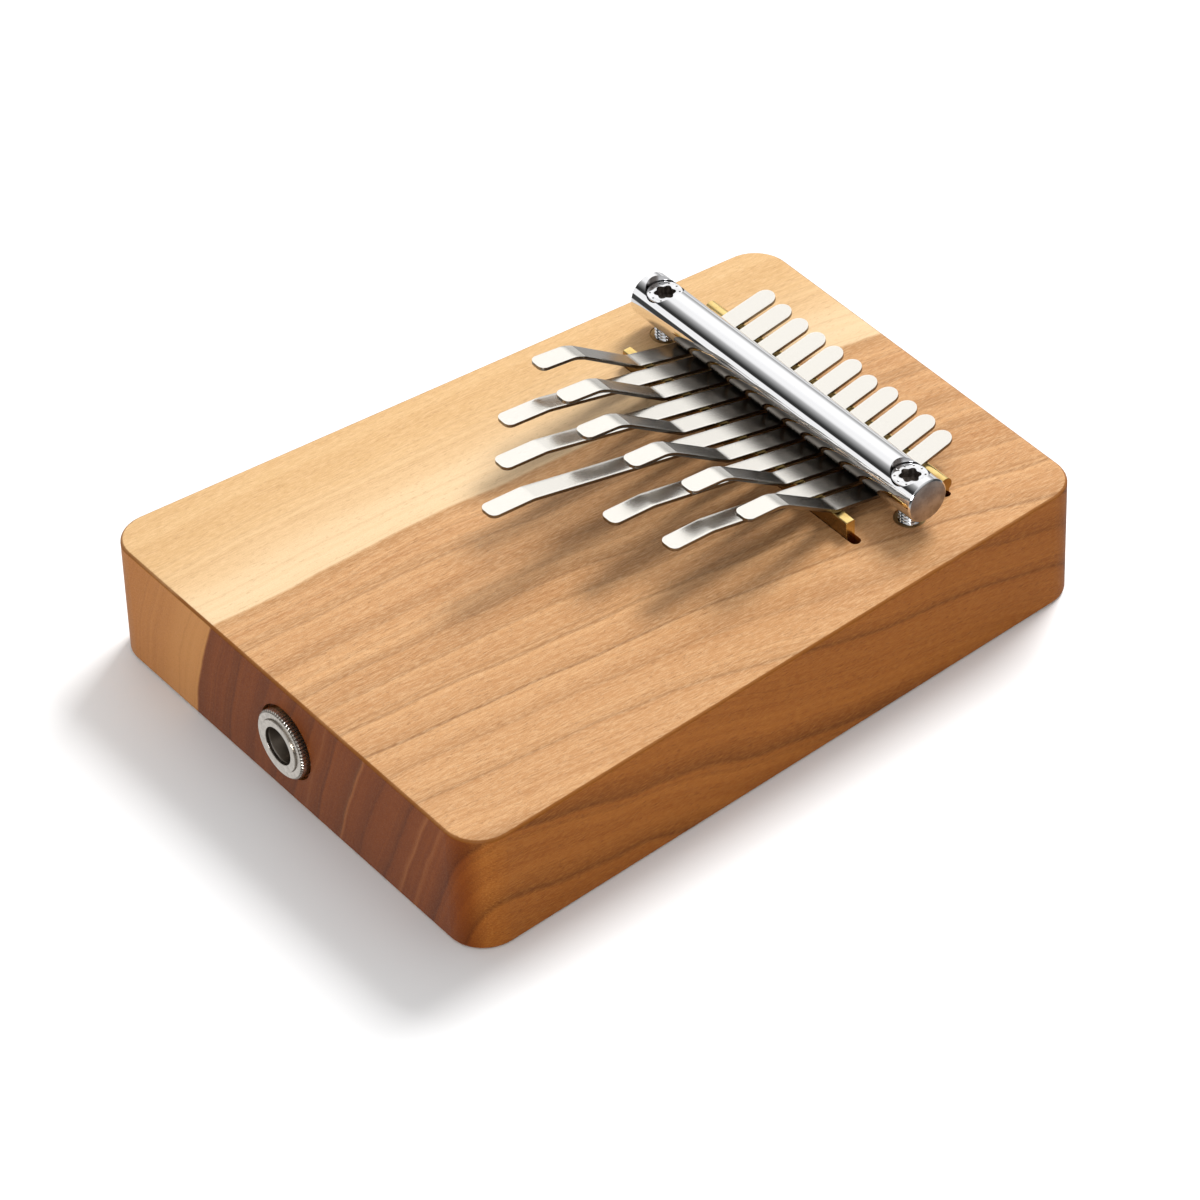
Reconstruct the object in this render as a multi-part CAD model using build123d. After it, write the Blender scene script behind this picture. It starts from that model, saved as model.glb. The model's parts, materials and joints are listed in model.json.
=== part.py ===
from build123d import *
import os
from math import cos, radians, sin, tan

# Eleven-tine board mbira (kalimba) with a built-in contact pickup.  Millimetres.
# Origin: centre of the flat base.  +Z up, -Y towards the player (jack end), +X to the right.

# ---------------------------------------------------------------- driving dimensions
# wooden board
BOARD_LENGTH = 170.0
BOARD_WIDTH_JACK_END = 130.0
BOARD_WIDTH_FAR_END = 108.0
BOARD_THICKNESS = 29.5
BOARD_CORNER_R = 8.5
BOARD_TOP_ROUND = 0.8
BOARD_BASE_ROUND = 0.5

# the whole metal group sits this far off the board's centre line
HARDWARE_X = -1.0

# tines
TINE_COUNT = 11
MIDDLE_TINE = 6
TINE_WIDTH = 4.86
TINE_THICKNESS = 0.8
TINE_PITCH = 6.29
TINE_FAN_DEG = 0.467
TINE_FRONT_RISE_DEG = 12.0
TINE_REAR_RISE_DEG = 11.7
TINE_BAR_BEND_R = 12.0
FRONT_CORNER_R = 1.7
FRONT_TIP_Y = [7.1, -6.8, 3.7, -17.5, -1.1, -31.1, 1.0, -10.0, 5.9, -4.9, 10.0]
REAR_TIP_Y = [70.2, 69.8, 69.5, 69.3, 69.2, 69.3, 68.5, 69.2, 69.3, 69.2, 68.6]

# low (even) tines: one shallow bend before a level playing pad
LOW_PAD_LENGTH = 10.8
LOW_PAD_RISE_DEG = 3.0
LOW_BEND_R = 8.0

# raised (odd) tines: a steep ramp, a crisp crease, a rounded shoulder and a pad
RAMP_RISE_DEG = 33.6
RAMP_RUN = 14.0
SHOULDER_RISE_DEG = 25.0
SHOULDER_LENGTH = 2.6
RAISED_PAD_RUN = 8.85
RAISED_PAD_RISE_DEG = 5.0
RAMP_FOOT_R = 4.0
CREASE_R = 1.2
SHOULDER_R = 6.0

# front bridge: flat brass bar standing on edge in a milled slot
BRIDGE_Y = 35.35
BRIDGE_THICKNESS = 2.3
BRIDGE_HALF_LENGTH = 38.1
BRIDGE_HEIGHT = 4.28
BRIDGE_CHAMFER = 0.2
BRIDGE_SLOT_DEPTH = 5.0
BRIDGE_SLOT_WIDTH = 2.5
BRIDGE_SLOT_HALF_LENGTH = 40.8

# rear bridge: round bead on a narrower web
REAR_BRIDGE_Y = 59.9
BEAD_R = 1.7
WEB_THICKNESS = 2.0
WEB_SLOT_WIDTH = 2.1
WEB_SLOT_DEPTH = 4.5
REAR_HALF_LENGTH = 39.9
WEB_SLOT_HALF_LENGTH = 41.0

# pressure bar, turned a little in plan: its left end sits nearer the player
BAR_Y = 48.7
BAR_TURN_DEG = 0.5
BAR_R = 5.2
BAR_HALF_LENGTH = 46.8
BAR_END_CHAMFER = 0.35

# screws that pull the bar down, and their inserts
SCREW_X = 41.0
SCREW_HEAD_R = 4.0
SCREW_HEAD_HEIGHT = 3.0
SCREW_HEAD_CHAMFER = 0.3
SCREW_HEAD_RECESS = 1.7
COUNTERBORE_R = 4.25
SCREW_SHANK_R = 2.5
SCREW_ROOT_R = 2.15
SCREW_PITCH = 0.8
SCREW_PLAIN_LENGTH = 1.4
SCREW_THREAD_TURNS = 29
SCREW_HOLE_R = 2.75
SOCKET_DEPTH = 2.2
SOCKET_CORE_R = 1.9
SOCKET_LOBE_PCR = 1.9
SOCKET_LOBE_R = 0.6
SOCKET_LOBES = 6
DIMPLE_COUNT = 10
DIMPLE_PCR = 3.25
DIMPLE_R = 0.22
DIMPLE_DEPTH = 0.25
INSERT_R = 3.5
INSERT_LENGTH = 12.0
INSERT_SUNK = 0.2
SCREW_PILOT_DEPTH = 17.5

# jack socket for a 6.35 mm plug
JACK_Z = BOARD_THICKNESS / 2
SPOTFACE_R = 8.75
SPOTFACE_DEPTH = 1.3
NUT_R = 8.0
NUT_THICKNESS = 3.0
NUT_KNURLS = 60
KNURL_R = 0.22
NUT_CHAMFER = 0.5
BUSH_R = 6.0
BUSH_PROUD = 0.4
PLUG_BORE_R = 3.25
MOUTH_R = 4.4
MOUTH_DEPTH = 1.15
JACK_FLANGE_R = 8.2
JACK_FLANGE_LENGTH = 2.0
JACK_BODY_R = 7.0
JACK_BODY_LENGTH = 7.0
WASHER_R = 8.6
WASHER_THICKNESS = 0.8
INSULATOR_LENGTH = 9.0
INSULATOR_BORE_R = 4.4
INSULATOR_WALL = 1.2
CONTACT_WIDTH = 2.4
CONTACT_THICKNESS = 0.3
CONTACT_BEND_R = 0.5
CONTACT_WINDOW = 3.4
LUG_THICKNESS = 0.5
LUG_WIDTH = 3.0
LUG_LENGTH = 5.0
LUG_HOLE_R = 0.6

# tip contact: distance behind the barrel's end (or before the cup's wall) and off the axis
CONTACT_HEEL_SETBACK = 0.4
CONTACT_HEEL_OFF_AXIS = 5.6
CONTACT_DIP_BACK = 2.6
CONTACT_DIP_OFF_AXIS = 2.45
CONTACT_NOSE_BACK = 0.8
CONTACT_NOSE_OFF_AXIS = 3.95

# wiring pocket and its cover, milled from below
POCKET_WIDTH = 40.0
POCKET_START_Y = -72.0
POCKET_END_Y = -16.0
POCKET_DEPTH = 24.5
POCKET_CORNER_R = 5.0
COVER_MARGIN = 6.5
COVER_THICKNESS = 3.0
COVER_CORNER_R = 4.0
COVER_SCREW_INSET = 3.2
COVER_SCREW_HEAD_R = 2.4
COVER_SCREW_R = 1.2
COVER_SCREW_LENGTH = 9.0
COVER_SCREW_SLOT = 0.6

# pickup
PIEZO_Y = -30.0
PIEZO_R = 10.0
PIEZO_THICKNESS = 0.3
CERAMIC_R = 7.0
CERAMIC_THICKNESS = 0.25
WIRE_R = 0.6

# clearances
FIT = 0.05
CONTACT_GAP = 0.03
TONGUE_GAP = 0.06

# ---------------------------------------------------------------- derived places
TOP_Z = BOARD_THICKNESS
FACE_Y = -BOARD_LENGTH / 2
HALF_T = TINE_THICKNESS / 2
BRIDGE_TOP_Z = TOP_Z + BRIDGE_HEIGHT
FRONT_SLOPE = tan(radians(TINE_FRONT_RISE_DEG))
REAR_SLOPE = tan(radians(TINE_REAR_RISE_DEG))

# tine centre line in the YZ plane: it pivots over the rear edge of the front bridge
PIVOT_Y = BRIDGE_Y + BRIDGE_THICKNESS / 2
PIVOT_Z = BRIDGE_TOP_Z + CONTACT_GAP + HALF_T
BEND_Z = PIVOT_Z - FRONT_SLOPE * (BAR_Y - PIVOT_Y)
HALF_TURN = radians(TINE_FRONT_RISE_DEG + TINE_REAR_RISE_DEG) / 2
BEND_LIFT = TINE_BAR_BEND_R * (1 / cos(HALF_TURN) - 1)
BAR_Z = BEND_Z + BEND_LIFT + HALF_T + CONTACT_GAP + BAR_R
REAR_LINE_Z = BEND_Z + REAR_SLOPE * (REAR_BRIDGE_Y - BAR_Y)
BEAD_Z = REAR_LINE_Z - (HALF_T + BEAD_R + CONTACT_GAP) / cos(radians(TINE_REAR_RISE_DEG))
SCREW_SEAT_Z = BAR_Z + BAR_R - SCREW_HEAD_RECESS - SCREW_HEAD_HEIGHT

WALL_Y = FACE_Y + SPOTFACE_DEPTH
NUT_FRONT_Y = WALL_Y - NUT_THICKNESS
BUSH_FRONT_Y = NUT_FRONT_Y - BUSH_PROUD
FLANGE_Y = POCKET_START_Y + WASHER_THICKNESS
BARREL_END_Y = FLANGE_Y + JACK_FLANGE_LENGTH + JACK_BODY_LENGTH
INSULATOR_END_Y = BARREL_END_Y + INSULATOR_LENGTH
CUP_FLOOR_Y = INSULATOR_END_Y - INSULATOR_WALL
TAG_Z = JACK_Z + CONTACT_HEEL_OFF_AXIS
TAG_END_Y = INSULATOR_END_Y + LUG_LENGTH
LUG_Y = FLANGE_Y + JACK_FLANGE_LENGTH
POCKET_MID_Y = (POCKET_START_Y + POCKET_END_Y) / 2
POCKET_LENGTH = POCKET_END_Y - POCKET_START_Y

parts = {}


def yz_point(y, z):
    """A point of the YZ plane through the origin."""
    return Vector(0, y, z)


def along_y(radius, y_start, y_end, x=0.0, z=JACK_Z):
    """A cylinder along Y between two stations."""
    middle = Pos(x, (y_start + y_end) / 2, z) * Rot(90, 0, 0)
    return middle * Cylinder(radius, abs(y_end - y_start))


def upright(radius, z_low, z_high, x, y):
    """A vertical cylinder between two heights."""
    return Pos(x, y, (z_low + z_high) / 2) * Cylinder(radius, z_high - z_low)


def slot_cutter(x, y, half_length, width, depth):
    """A round-ended slot cut down from the board's top face."""
    outline = SlotOverall(2 * half_length, width)
    return Pos(x, y, TOP_Z - depth) * extrude(outline, depth + 1)


def screw_place(side):
    """A bar screw's place in plan, on the turned bar's centre line."""
    turn = radians(BAR_TURN_DEG)
    return HARDWARE_X + side * SCREW_X * cos(turn), BAR_Y + side * SCREW_X * sin(turn)


# ---------------------------------------------------------------- board and cover
def board_blank():
    front = BOARD_WIDTH_JACK_END / 2
    rear = BOARD_WIDTH_FAR_END / 2
    half = BOARD_LENGTH / 2
    outline = make_face(Polyline((-front, -half), (front, -half), (rear, half), (-rear, half), close=True))
    blank = extrude(outline, BOARD_THICKNESS)
    blank = fillet(blank.edges().filter_by(Axis.Z), BOARD_CORNER_R)
    blank = fillet(blank.faces().sort_by(Axis.Z)[-1].edges(), BOARD_TOP_ROUND)
    return fillet(blank.faces().sort_by(Axis.Z)[0].edges(), BOARD_BASE_ROUND)


def pocket_outline(margin, corner_r):
    return RectangleRounded(POCKET_WIDTH + 2 * margin, POCKET_LENGTH + 2 * margin, corner_r)


def cover_screw_places():
    across = POCKET_WIDTH / 2 + COVER_SCREW_INSET
    along = POCKET_LENGTH / 2 + COVER_SCREW_INSET
    return [(sx * across, POCKET_MID_Y + sy * along) for sx in (-1, 1) for sy in (-1, 1)]


def make_board():
    board = board_blank()
    board -= Pos(0, POCKET_MID_Y, 0) * extrude(pocket_outline(0, POCKET_CORNER_R), POCKET_DEPTH)
    board -= Pos(0, POCKET_MID_Y, 0) * extrude(pocket_outline(COVER_MARGIN, COVER_CORNER_R), COVER_THICKNESS)
    board -= along_y(SPOTFACE_R, FACE_Y - 1, WALL_Y)
    board -= along_y(BUSH_R + FIT, WALL_Y - 1, POCKET_START_Y + 1)
    board -= slot_cutter(HARDWARE_X, BRIDGE_Y, BRIDGE_SLOT_HALF_LENGTH, BRIDGE_SLOT_WIDTH, BRIDGE_SLOT_DEPTH)
    board -= slot_cutter(HARDWARE_X, REAR_BRIDGE_Y, WEB_SLOT_HALF_LENGTH, WEB_SLOT_WIDTH, WEB_SLOT_DEPTH)
    for side in (-1, 1):
        x, y = screw_place(side)
        insert_floor = TOP_Z - INSERT_SUNK - INSERT_LENGTH - FIT
        board -= upright(INSERT_R + FIT, insert_floor, TOP_Z + 1, x, y)
        board -= upright(SCREW_HOLE_R, TOP_Z - SCREW_PILOT_DEPTH, TOP_Z, x, y)
    for x, y in cover_screw_places():
        board -= upright(COVER_SCREW_R + FIT, 0, COVER_SCREW_LENGTH + FIT, x, y)
    return board


def cover_screw(x, y, clearance=0.0):
    """A countersunk wood screw seen from below, its head flush with the base."""
    profile = Polyline(
        (0, 0),
        (COVER_SCREW_HEAD_R + clearance, 0),
        (COVER_SCREW_R + clearance, COVER_SCREW_HEAD_R - COVER_SCREW_R),
        (COVER_SCREW_R + clearance, COVER_SCREW_LENGTH - COVER_SCREW_R),
        (0, COVER_SCREW_LENGTH),
        close=True,
    )
    return Pos(x, y, 0) * revolve(Plane.XZ * make_face(profile), Axis.Z)


def make_cover():
    outline = pocket_outline(COVER_MARGIN - FIT, COVER_CORNER_R - FIT)
    cover = Pos(0, POCKET_MID_Y, 0) * extrude(outline, COVER_THICKNESS - FIT)
    for x, y in cover_screw_places():
        cover -= cover_screw(x, y, FIT)
    return cover


def make_cover_screws():
    screws = []
    for x, y in cover_screw_places():
        slot = Pos(x, y, 0) * Box(2 * COVER_SCREW_HEAD_R, COVER_SCREW_SLOT, COVER_SCREW_SLOT * 2)
        screws.append(cover_screw(x, y) - slot)
    return Compound(children=screws)


# ---------------------------------------------------------------- bridges and bar
def make_front_bridge():
    height = BRIDGE_HEIGHT + BRIDGE_SLOT_DEPTH - FIT
    bridge = Box(2 * BRIDGE_HALF_LENGTH, BRIDGE_THICKNESS, height)
    bridge = chamfer(bridge.faces().sort_by(Axis.Z)[-1].edges(), BRIDGE_CHAMFER)
    return Pos(HARDWARE_X, BRIDGE_Y, BRIDGE_TOP_Z - height / 2) * bridge


def make_rear_bridge():
    foot_z = TOP_Z - WEB_SLOT_DEPTH + FIT
    section = Pos(REAR_BRIDGE_Y, BEAD_Z) * Circle(BEAD_R)
    web_height = BEAD_Z - foot_z
    section += Pos(REAR_BRIDGE_Y, BEAD_Z - web_height / 2) * Rectangle(WEB_THICKNESS, web_height)
    rail = extrude(Plane.YZ * section, REAR_HALF_LENGTH, both=True)
    return Pos(HARDWARE_X, 0, 0) * rail


def make_pressure_bar():
    bar = Rot(0, 90, 0) * Cylinder(BAR_R, 2 * BAR_HALF_LENGTH)
    bar = chamfer(bar.edges().filter_by(GeomType.CIRCLE), BAR_END_CHAMFER)
    bar = Pos(HARDWARE_X, BAR_Y, BAR_Z) * Rot(0, 0, BAR_TURN_DEG) * bar
    for side in (-1, 1):
        x, y = screw_place(side)
        bar -= upright(COUNTERBORE_R, SCREW_SEAT_Z, BAR_Z + 2 * BAR_R, x, y)
        bar -= upright(SCREW_HOLE_R, BAR_Z - 2 * BAR_R, SCREW_SEAT_Z + 1, x, y)
    return bar


def threaded_shank():
    """Ridged shank below a head whose underside is at height zero."""
    outline = [(0, 0), (SCREW_SHANK_R, 0), (SCREW_SHANK_R, -SCREW_PLAIN_LENGTH)]
    for turn in range(SCREW_THREAD_TURNS):
        start = -SCREW_PLAIN_LENGTH - turn * SCREW_PITCH
        outline.append((SCREW_ROOT_R, start - SCREW_PITCH / 2))
        outline.append((SCREW_SHANK_R, start - SCREW_PITCH))
    outline.append((0, outline[-1][1]))
    return revolve(Plane.XZ * make_face(Polyline(*outline, close=True)), Axis.Z)


def make_bar_screw(side):
    head = Pos(0, 0, SCREW_HEAD_HEIGHT / 2) * Cylinder(SCREW_HEAD_R, SCREW_HEAD_HEIGHT)
    head = chamfer(head.edges().filter_by(GeomType.CIRCLE).sort_by(Axis.Z)[-1], SCREW_HEAD_CHAMFER)
    lobes = PolarLocations(SOCKET_LOBE_PCR, SOCKET_LOBES) * Circle(SOCKET_LOBE_R)
    socket = extrude(Circle(SOCKET_CORE_R) + lobes, SOCKET_DEPTH)
    head -= Pos(0, 0, SCREW_HEAD_HEIGHT - SOCKET_DEPTH) * socket
    dimple = Pos(0, 0, SCREW_HEAD_HEIGHT) * Cylinder(DIMPLE_R, 2 * DIMPLE_DEPTH)
    head -= PolarLocations(DIMPLE_PCR, DIMPLE_COUNT) * dimple
    screw = head + threaded_shank()
    x, y = screw_place(side)
    return Pos(x, y, SCREW_SEAT_Z) * screw


def make_screw_insert(side):
    top = TOP_Z - INSERT_SUNK
    x, y = screw_place(side)
    insert = upright(INSERT_R, top - INSERT_LENGTH, top, x, y)
    return insert - upright(SCREW_SHANK_R + FIT, top - INSERT_LENGTH - 1, top + 1, x, y)


# ---------------------------------------------------------------- tines
def tine_centre_x(number):
    return HARDWARE_X + (number - MIDDLE_TINE) * TINE_PITCH


def tine_plan(number):
    """Vertical prism with the tine's outline in plan, turned to its fan angle."""
    front = FRONT_TIP_Y[number - 1] - BAR_Y
    rear = REAR_TIP_Y[number - 1] - BAR_Y
    outline = Pos(0, (front + rear) / 2) * Rectangle(TINE_WIDTH, rear - front)
    ends = outline.vertices().group_by(Axis.Y)
    outline = fillet(ends[0], FRONT_CORNER_R)
    ends = outline.vertices().group_by(Axis.Y)
    outline = fillet(ends[-1], TINE_WIDTH / 2 - FIT / 2)
    fan = (number - MIDDLE_TINE) * TINE_FAN_DEG
    return Pos(tine_centre_x(number), BAR_Y, 0) * Rot(0, 0, fan) * extrude(outline, 3 * BOARD_THICKNESS)


def strip_along(points, radii, number):
    """Spring strip whose centre line follows the points, cut to the tine's plan outline."""
    path = FilletPolyline(*points, radius=radii)
    across = 3 * TINE_WIDTH
    section = Plane(origin=path @ 0, x_dir=(1, 0, 0), z_dir=path % 0) * Rectangle(across, TINE_THICKNESS)
    strip = Pos(tine_centre_x(number), 0, 0) * sweep(section, path)
    return strip & tine_plan(number)


def run_up(start, rise_deg, run):
    """The point reached from start by going towards the player at a rise angle."""
    return yz_point(start.Y - run, start.Z + run * tan(radians(rise_deg)))


def low_tongue_line(tip_y):
    pivot = yz_point(PIVOT_Y, PIVOT_Z)
    bend = run_up(pivot, TINE_FRONT_RISE_DEG, PIVOT_Y - tip_y - LOW_PAD_LENGTH)
    tip = run_up(bend, LOW_PAD_RISE_DEG, LOW_PAD_LENGTH + 1)
    return [pivot, bend, tip], [LOW_BEND_R]


def raised_tongue_line(tip_y):
    pivot = yz_point(PIVOT_Y, PIVOT_Z)
    shoulder_run = SHOULDER_LENGTH * cos(radians(SHOULDER_RISE_DEG))
    crease_y = tip_y + RAISED_PAD_RUN + shoulder_run
    foot_y = min(crease_y + RAMP_RUN, BRIDGE_Y - BRIDGE_THICKNESS / 2)
    foot = run_up(pivot, TINE_FRONT_RISE_DEG, PIVOT_Y - foot_y)
    crease = run_up(foot, RAMP_RISE_DEG, foot_y - crease_y)
    shoulder = run_up(crease, SHOULDER_RISE_DEG, shoulder_run)
    tip = run_up(shoulder, RAISED_PAD_RISE_DEG, RAISED_PAD_RUN + 1)
    return [pivot, foot, crease, shoulder, tip], [RAMP_FOOT_R, CREASE_R, SHOULDER_R]


def make_tongue(number):
    """Free front part of a tine, with a round end that turns on the front bridge."""
    tip_y = FRONT_TIP_Y[number - 1]
    line = low_tongue_line if number % 2 == 0 else raised_tongue_line
    points, radii = line(tip_y)
    strip = strip_along(points, radii, number)
    knuckle = Pos(tine_centre_x(number), PIVOT_Y, PIVOT_Z) * Rot(0, 90, 0) * Cylinder(HALF_T, 3 * TINE_WIDTH)
    return strip + (knuckle & tine_plan(number))


def make_heel(number):
    """Clamped rear part of a tine: under the bar and over the rear bridge."""
    start_run = HALF_T + TONGUE_GAP
    start = yz_point(
        PIVOT_Y + start_run * cos(radians(TINE_FRONT_RISE_DEG)),
        PIVOT_Z - start_run * sin(radians(TINE_FRONT_RISE_DEG)),
    )
    bend = yz_point(BAR_Y, BEND_Z)
    tail = run_up(bend, -TINE_REAR_RISE_DEG, BAR_Y - REAR_TIP_Y[number - 1] - 1)
    return strip_along([start, bend, tail], [TINE_BAR_BEND_R], number)


# ---------------------------------------------------------------- jack socket
def turned_along_y(profile):
    """Turns a profile of (radius, y) points about the jack's axis."""
    outline = make_face(Polyline(*profile, close=True))
    return Pos(0, 0, JACK_Z) * revolve(outline, Axis.Y)


def make_jack_barrel():
    return turned_along_y(
        [
            (MOUTH_R, BUSH_FRONT_Y),
            (BUSH_R - FIT, BUSH_FRONT_Y),
            (BUSH_R, BUSH_FRONT_Y + FIT),
            (BUSH_R, FLANGE_Y),
            (JACK_FLANGE_R, FLANGE_Y),
            (JACK_FLANGE_R, FLANGE_Y + JACK_FLANGE_LENGTH),
            (JACK_BODY_R, FLANGE_Y + JACK_FLANGE_LENGTH),
            (JACK_BODY_R, BARREL_END_Y),
            (PLUG_BORE_R, BARREL_END_Y),
            (PLUG_BORE_R, BUSH_FRONT_Y + MOUTH_DEPTH),
        ]
    )


def make_jack_nut():
    inner = BUSH_R + FIT
    nut = turned_along_y(
        [
            (inner + NUT_CHAMFER, NUT_FRONT_Y),
            (NUT_R - NUT_CHAMFER, NUT_FRONT_Y),
            (NUT_R, NUT_FRONT_Y + NUT_CHAMFER),
            (NUT_R, WALL_Y),
            (inner, WALL_Y),
            (inner, NUT_FRONT_Y + NUT_CHAMFER),
        ]
    )
    knurl = Rot(90, 0, 0) * Cylinder(KNURL_R, 2 * NUT_THICKNESS)
    for step in range(NUT_KNURLS):
        turn = radians(360 * step / NUT_KNURLS)
        nut -= Pos(NUT_R * cos(turn), NUT_FRONT_Y, JACK_Z + NUT_R * sin(turn)) * knurl
    return nut


def make_jack_washer():
    ring = along_y(WASHER_R, POCKET_START_Y, FLANGE_Y)
    return ring - along_y(BUSH_R + FIT, POCKET_START_Y - 1, FLANGE_Y + 1)


def make_jack_insulator():
    """Plastic cup behind the barrel, with a window above the contact and a slot for its tag."""
    cup = along_y(JACK_BODY_R, BARREL_END_Y, INSULATOR_END_Y)
    cup -= along_y(INSULATOR_BORE_R, BARREL_END_Y - 1, CUP_FLOOR_Y)
    length = CUP_FLOOR_Y - BARREL_END_Y + 1
    window_z = JACK_Z + (CONTACT_HEEL_OFF_AXIS + JACK_BODY_R) / 2
    cup -= Pos(0, CUP_FLOOR_Y - length / 2, window_z) * Box(CONTACT_WINDOW, length, JACK_BODY_R)
    slot = Box(LUG_WIDTH + 2 * FIT, 4 * INSULATOR_WALL, LUG_THICKNESS + 2 * FIT)
    return cup - Pos(0, CUP_FLOOR_Y, TAG_Z) * slot


def contact_line():
    """Centre line of the tip contact: heel, slope inwards and the V that meets the plug's tip."""
    heel = yz_point(CUP_FLOOR_Y - CONTACT_HEEL_SETBACK, TAG_Z)
    dip = yz_point(BARREL_END_Y + CONTACT_DIP_BACK, JACK_Z + CONTACT_DIP_OFF_AXIS)
    nose = yz_point(BARREL_END_Y + CONTACT_NOSE_BACK, JACK_Z + CONTACT_NOSE_OFF_AXIS)
    return [heel, dip, nose]


def make_tip_contact():
    path = FilletPolyline(*contact_line(), radius=[CONTACT_BEND_R])
    section = Plane(origin=path @ 0, x_dir=(1, 0, 0), z_dir=path % 0)
    blade = sweep(section * Rectangle(CONTACT_WIDTH, CONTACT_THICKNESS), path)
    heel = contact_line()[0]
    knuckle = Pos(0, heel.Y, heel.Z) * Rot(0, 90, 0) * Cylinder(CONTACT_THICKNESS / 2, CONTACT_WIDTH)
    return blade + knuckle


def make_tip_lug():
    """Solder tag that the contact spring continues into, through the cup's wall."""
    start_y = contact_line()[0].Y + CONTACT_THICKNESS / 2 + TONGUE_GAP
    length = TAG_END_Y - start_y
    tag = Pos(0, start_y + length / 2, TAG_Z) * Box(LUG_WIDTH, length, LUG_THICKNESS)
    return tag - upright(LUG_HOLE_R, TAG_Z - 1, TAG_Z + 1, 0, TAG_END_Y - LUG_WIDTH / 2)


def make_ground_lug():
    """Ring tag clamped on the barrel's body, with its tail to the right."""
    ring = along_y(JACK_FLANGE_R, LUG_Y, LUG_Y + LUG_THICKNESS)
    tail_end = JACK_FLANGE_R + LUG_LENGTH - 1
    tail_x = tail_end - LUG_LENGTH / 2
    ring += Pos(tail_x, LUG_Y + LUG_THICKNESS / 2, JACK_Z) * Box(LUG_LENGTH, LUG_THICKNESS, LUG_WIDTH)
    ring -= along_y(JACK_BODY_R + FIT, LUG_Y - 1, LUG_Y + 1)
    return ring - along_y(LUG_HOLE_R, LUG_Y - 1, LUG_Y + 1, x=tail_end - LUG_WIDTH / 2)


# ---------------------------------------------------------------- pickup and wiring
def make_piezo_disc():
    return upright(PIEZO_R, POCKET_DEPTH - PIEZO_THICKNESS, POCKET_DEPTH, 0, PIEZO_Y)


def make_piezo_ceramic():
    top = POCKET_DEPTH - PIEZO_THICKNESS
    return upright(CERAMIC_R, top - CERAMIC_THICKNESS, top, 0, PIEZO_Y)


def wire(points):
    """Round wire through the points; each bend takes 0.45 of its shorter run."""
    radii = []
    for before, corner, after in zip(points, points[1:], points[2:]):
        run_in = Vector(*corner) - Vector(*before)
        run_out = Vector(*after) - Vector(*corner)
        half_turn = radians(run_in.get_angle(run_out)) / 2
        radii.append(0.45 * min(run_in.length, run_out.length) / tan(half_turn))
    path = FilletPolyline(*points, radius=radii)
    section = Plane(origin=path @ 0, z_dir=path % 0) * Circle(WIRE_R)
    print("wire radii", [round(r, 1) for r in radii], "length", round(path.length, 1))
    return sweep(section, path)


def make_hot_wire():
    """From under the tip tag, sagging once, up to the middle of the ceramic."""
    ceiling = POCKET_DEPTH - PIEZO_THICKNESS - CERAMIC_THICKNESS
    start_y = TAG_END_Y - LUG_WIDTH
    start_z = TAG_Z - LUG_THICKNESS / 2 - WIRE_R - FIT
    return wire(
        [
            (0, start_y, start_z),
            (-1.5, start_y + 7, start_z - 2),
            (-3, start_y + 15, start_z),
            (-2, PIEZO_Y + 1, ceiling - WIRE_R - FIT),
        ]
    )


def make_ground_wire():
    """From the ground tag's face, in a loose loop, up to the rim of the brass disc."""
    ceiling = POCKET_DEPTH - PIEZO_THICKNESS
    start_x = JACK_FLANGE_R + LUG_LENGTH - 1 - LUG_WIDTH / 2
    start_y = LUG_Y + LUG_THICKNESS + FIT
    return wire(
        [
            (start_x, start_y, JACK_Z),
            (start_x + 0.5, start_y + 9, JACK_Z - 2),
            (start_x + 1, start_y + 18, JACK_Z - 1),
            (start_x, start_y + 26, JACK_Z + 3),
            (start_x - 1, PIEZO_Y - 3, ceiling - 3),
            (CERAMIC_R + 2 * WIRE_R, PIEZO_Y, ceiling - WIRE_R - FIT),
        ]
    )


# ---------------------------------------------------------------- all the pieces
parts["board"] = make_board()
parts["pocket_cover"] = make_cover()
parts["cover_screws"] = make_cover_screws()
parts["front_bridge"] = make_front_bridge()
parts["rear_bridge"] = make_rear_bridge()
parts["pressure_bar"] = make_pressure_bar()
for name, side in (("left", -1), ("right", 1)):
    parts["bar_screw_" + name] = make_bar_screw(side)
    parts["screw_insert_" + name] = make_screw_insert(side)
for number in range(1, TINE_COUNT + 1):
    parts[f"tine_{number:02d}_tongue"] = make_tongue(number)
    parts[f"tine_{number:02d}_heel"] = make_heel(number)
parts["jack_barrel"] = make_jack_barrel()
parts["jack_nut"] = make_jack_nut()
parts["jack_washer"] = make_jack_washer()
parts["jack_insulator"] = make_jack_insulator()
parts["jack_tip_contact"] = make_tip_contact()
parts["jack_tip_lug"] = make_tip_lug()
parts["jack_ground_lug"] = make_ground_lug()
parts["piezo_disc"] = make_piezo_disc()
parts["piezo_ceramic"] = make_piezo_ceramic()
parts["wire_hot"] = make_hot_wire()
parts["wire_ground"] = make_ground_wire()

os.makedirs("parts", exist_ok=True)
for node, solid in parts.items():
    export_step(solid, f"parts/{node}.step")
print("pivot", round(PIVOT_Y, 3), round(PIVOT_Z, 3), "bar", round(BAR_Z, 3), "bead", round(BEAD_Z, 3))
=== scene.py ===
"""Looks of the board mbira: wood, spring steel, chrome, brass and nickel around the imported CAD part."""

import json
from math import atan2, ceil, cos, pi, radians, sin, tan

import bmesh
import bpy
import numpy as np
from mathutils import Matrix, Vector


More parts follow.
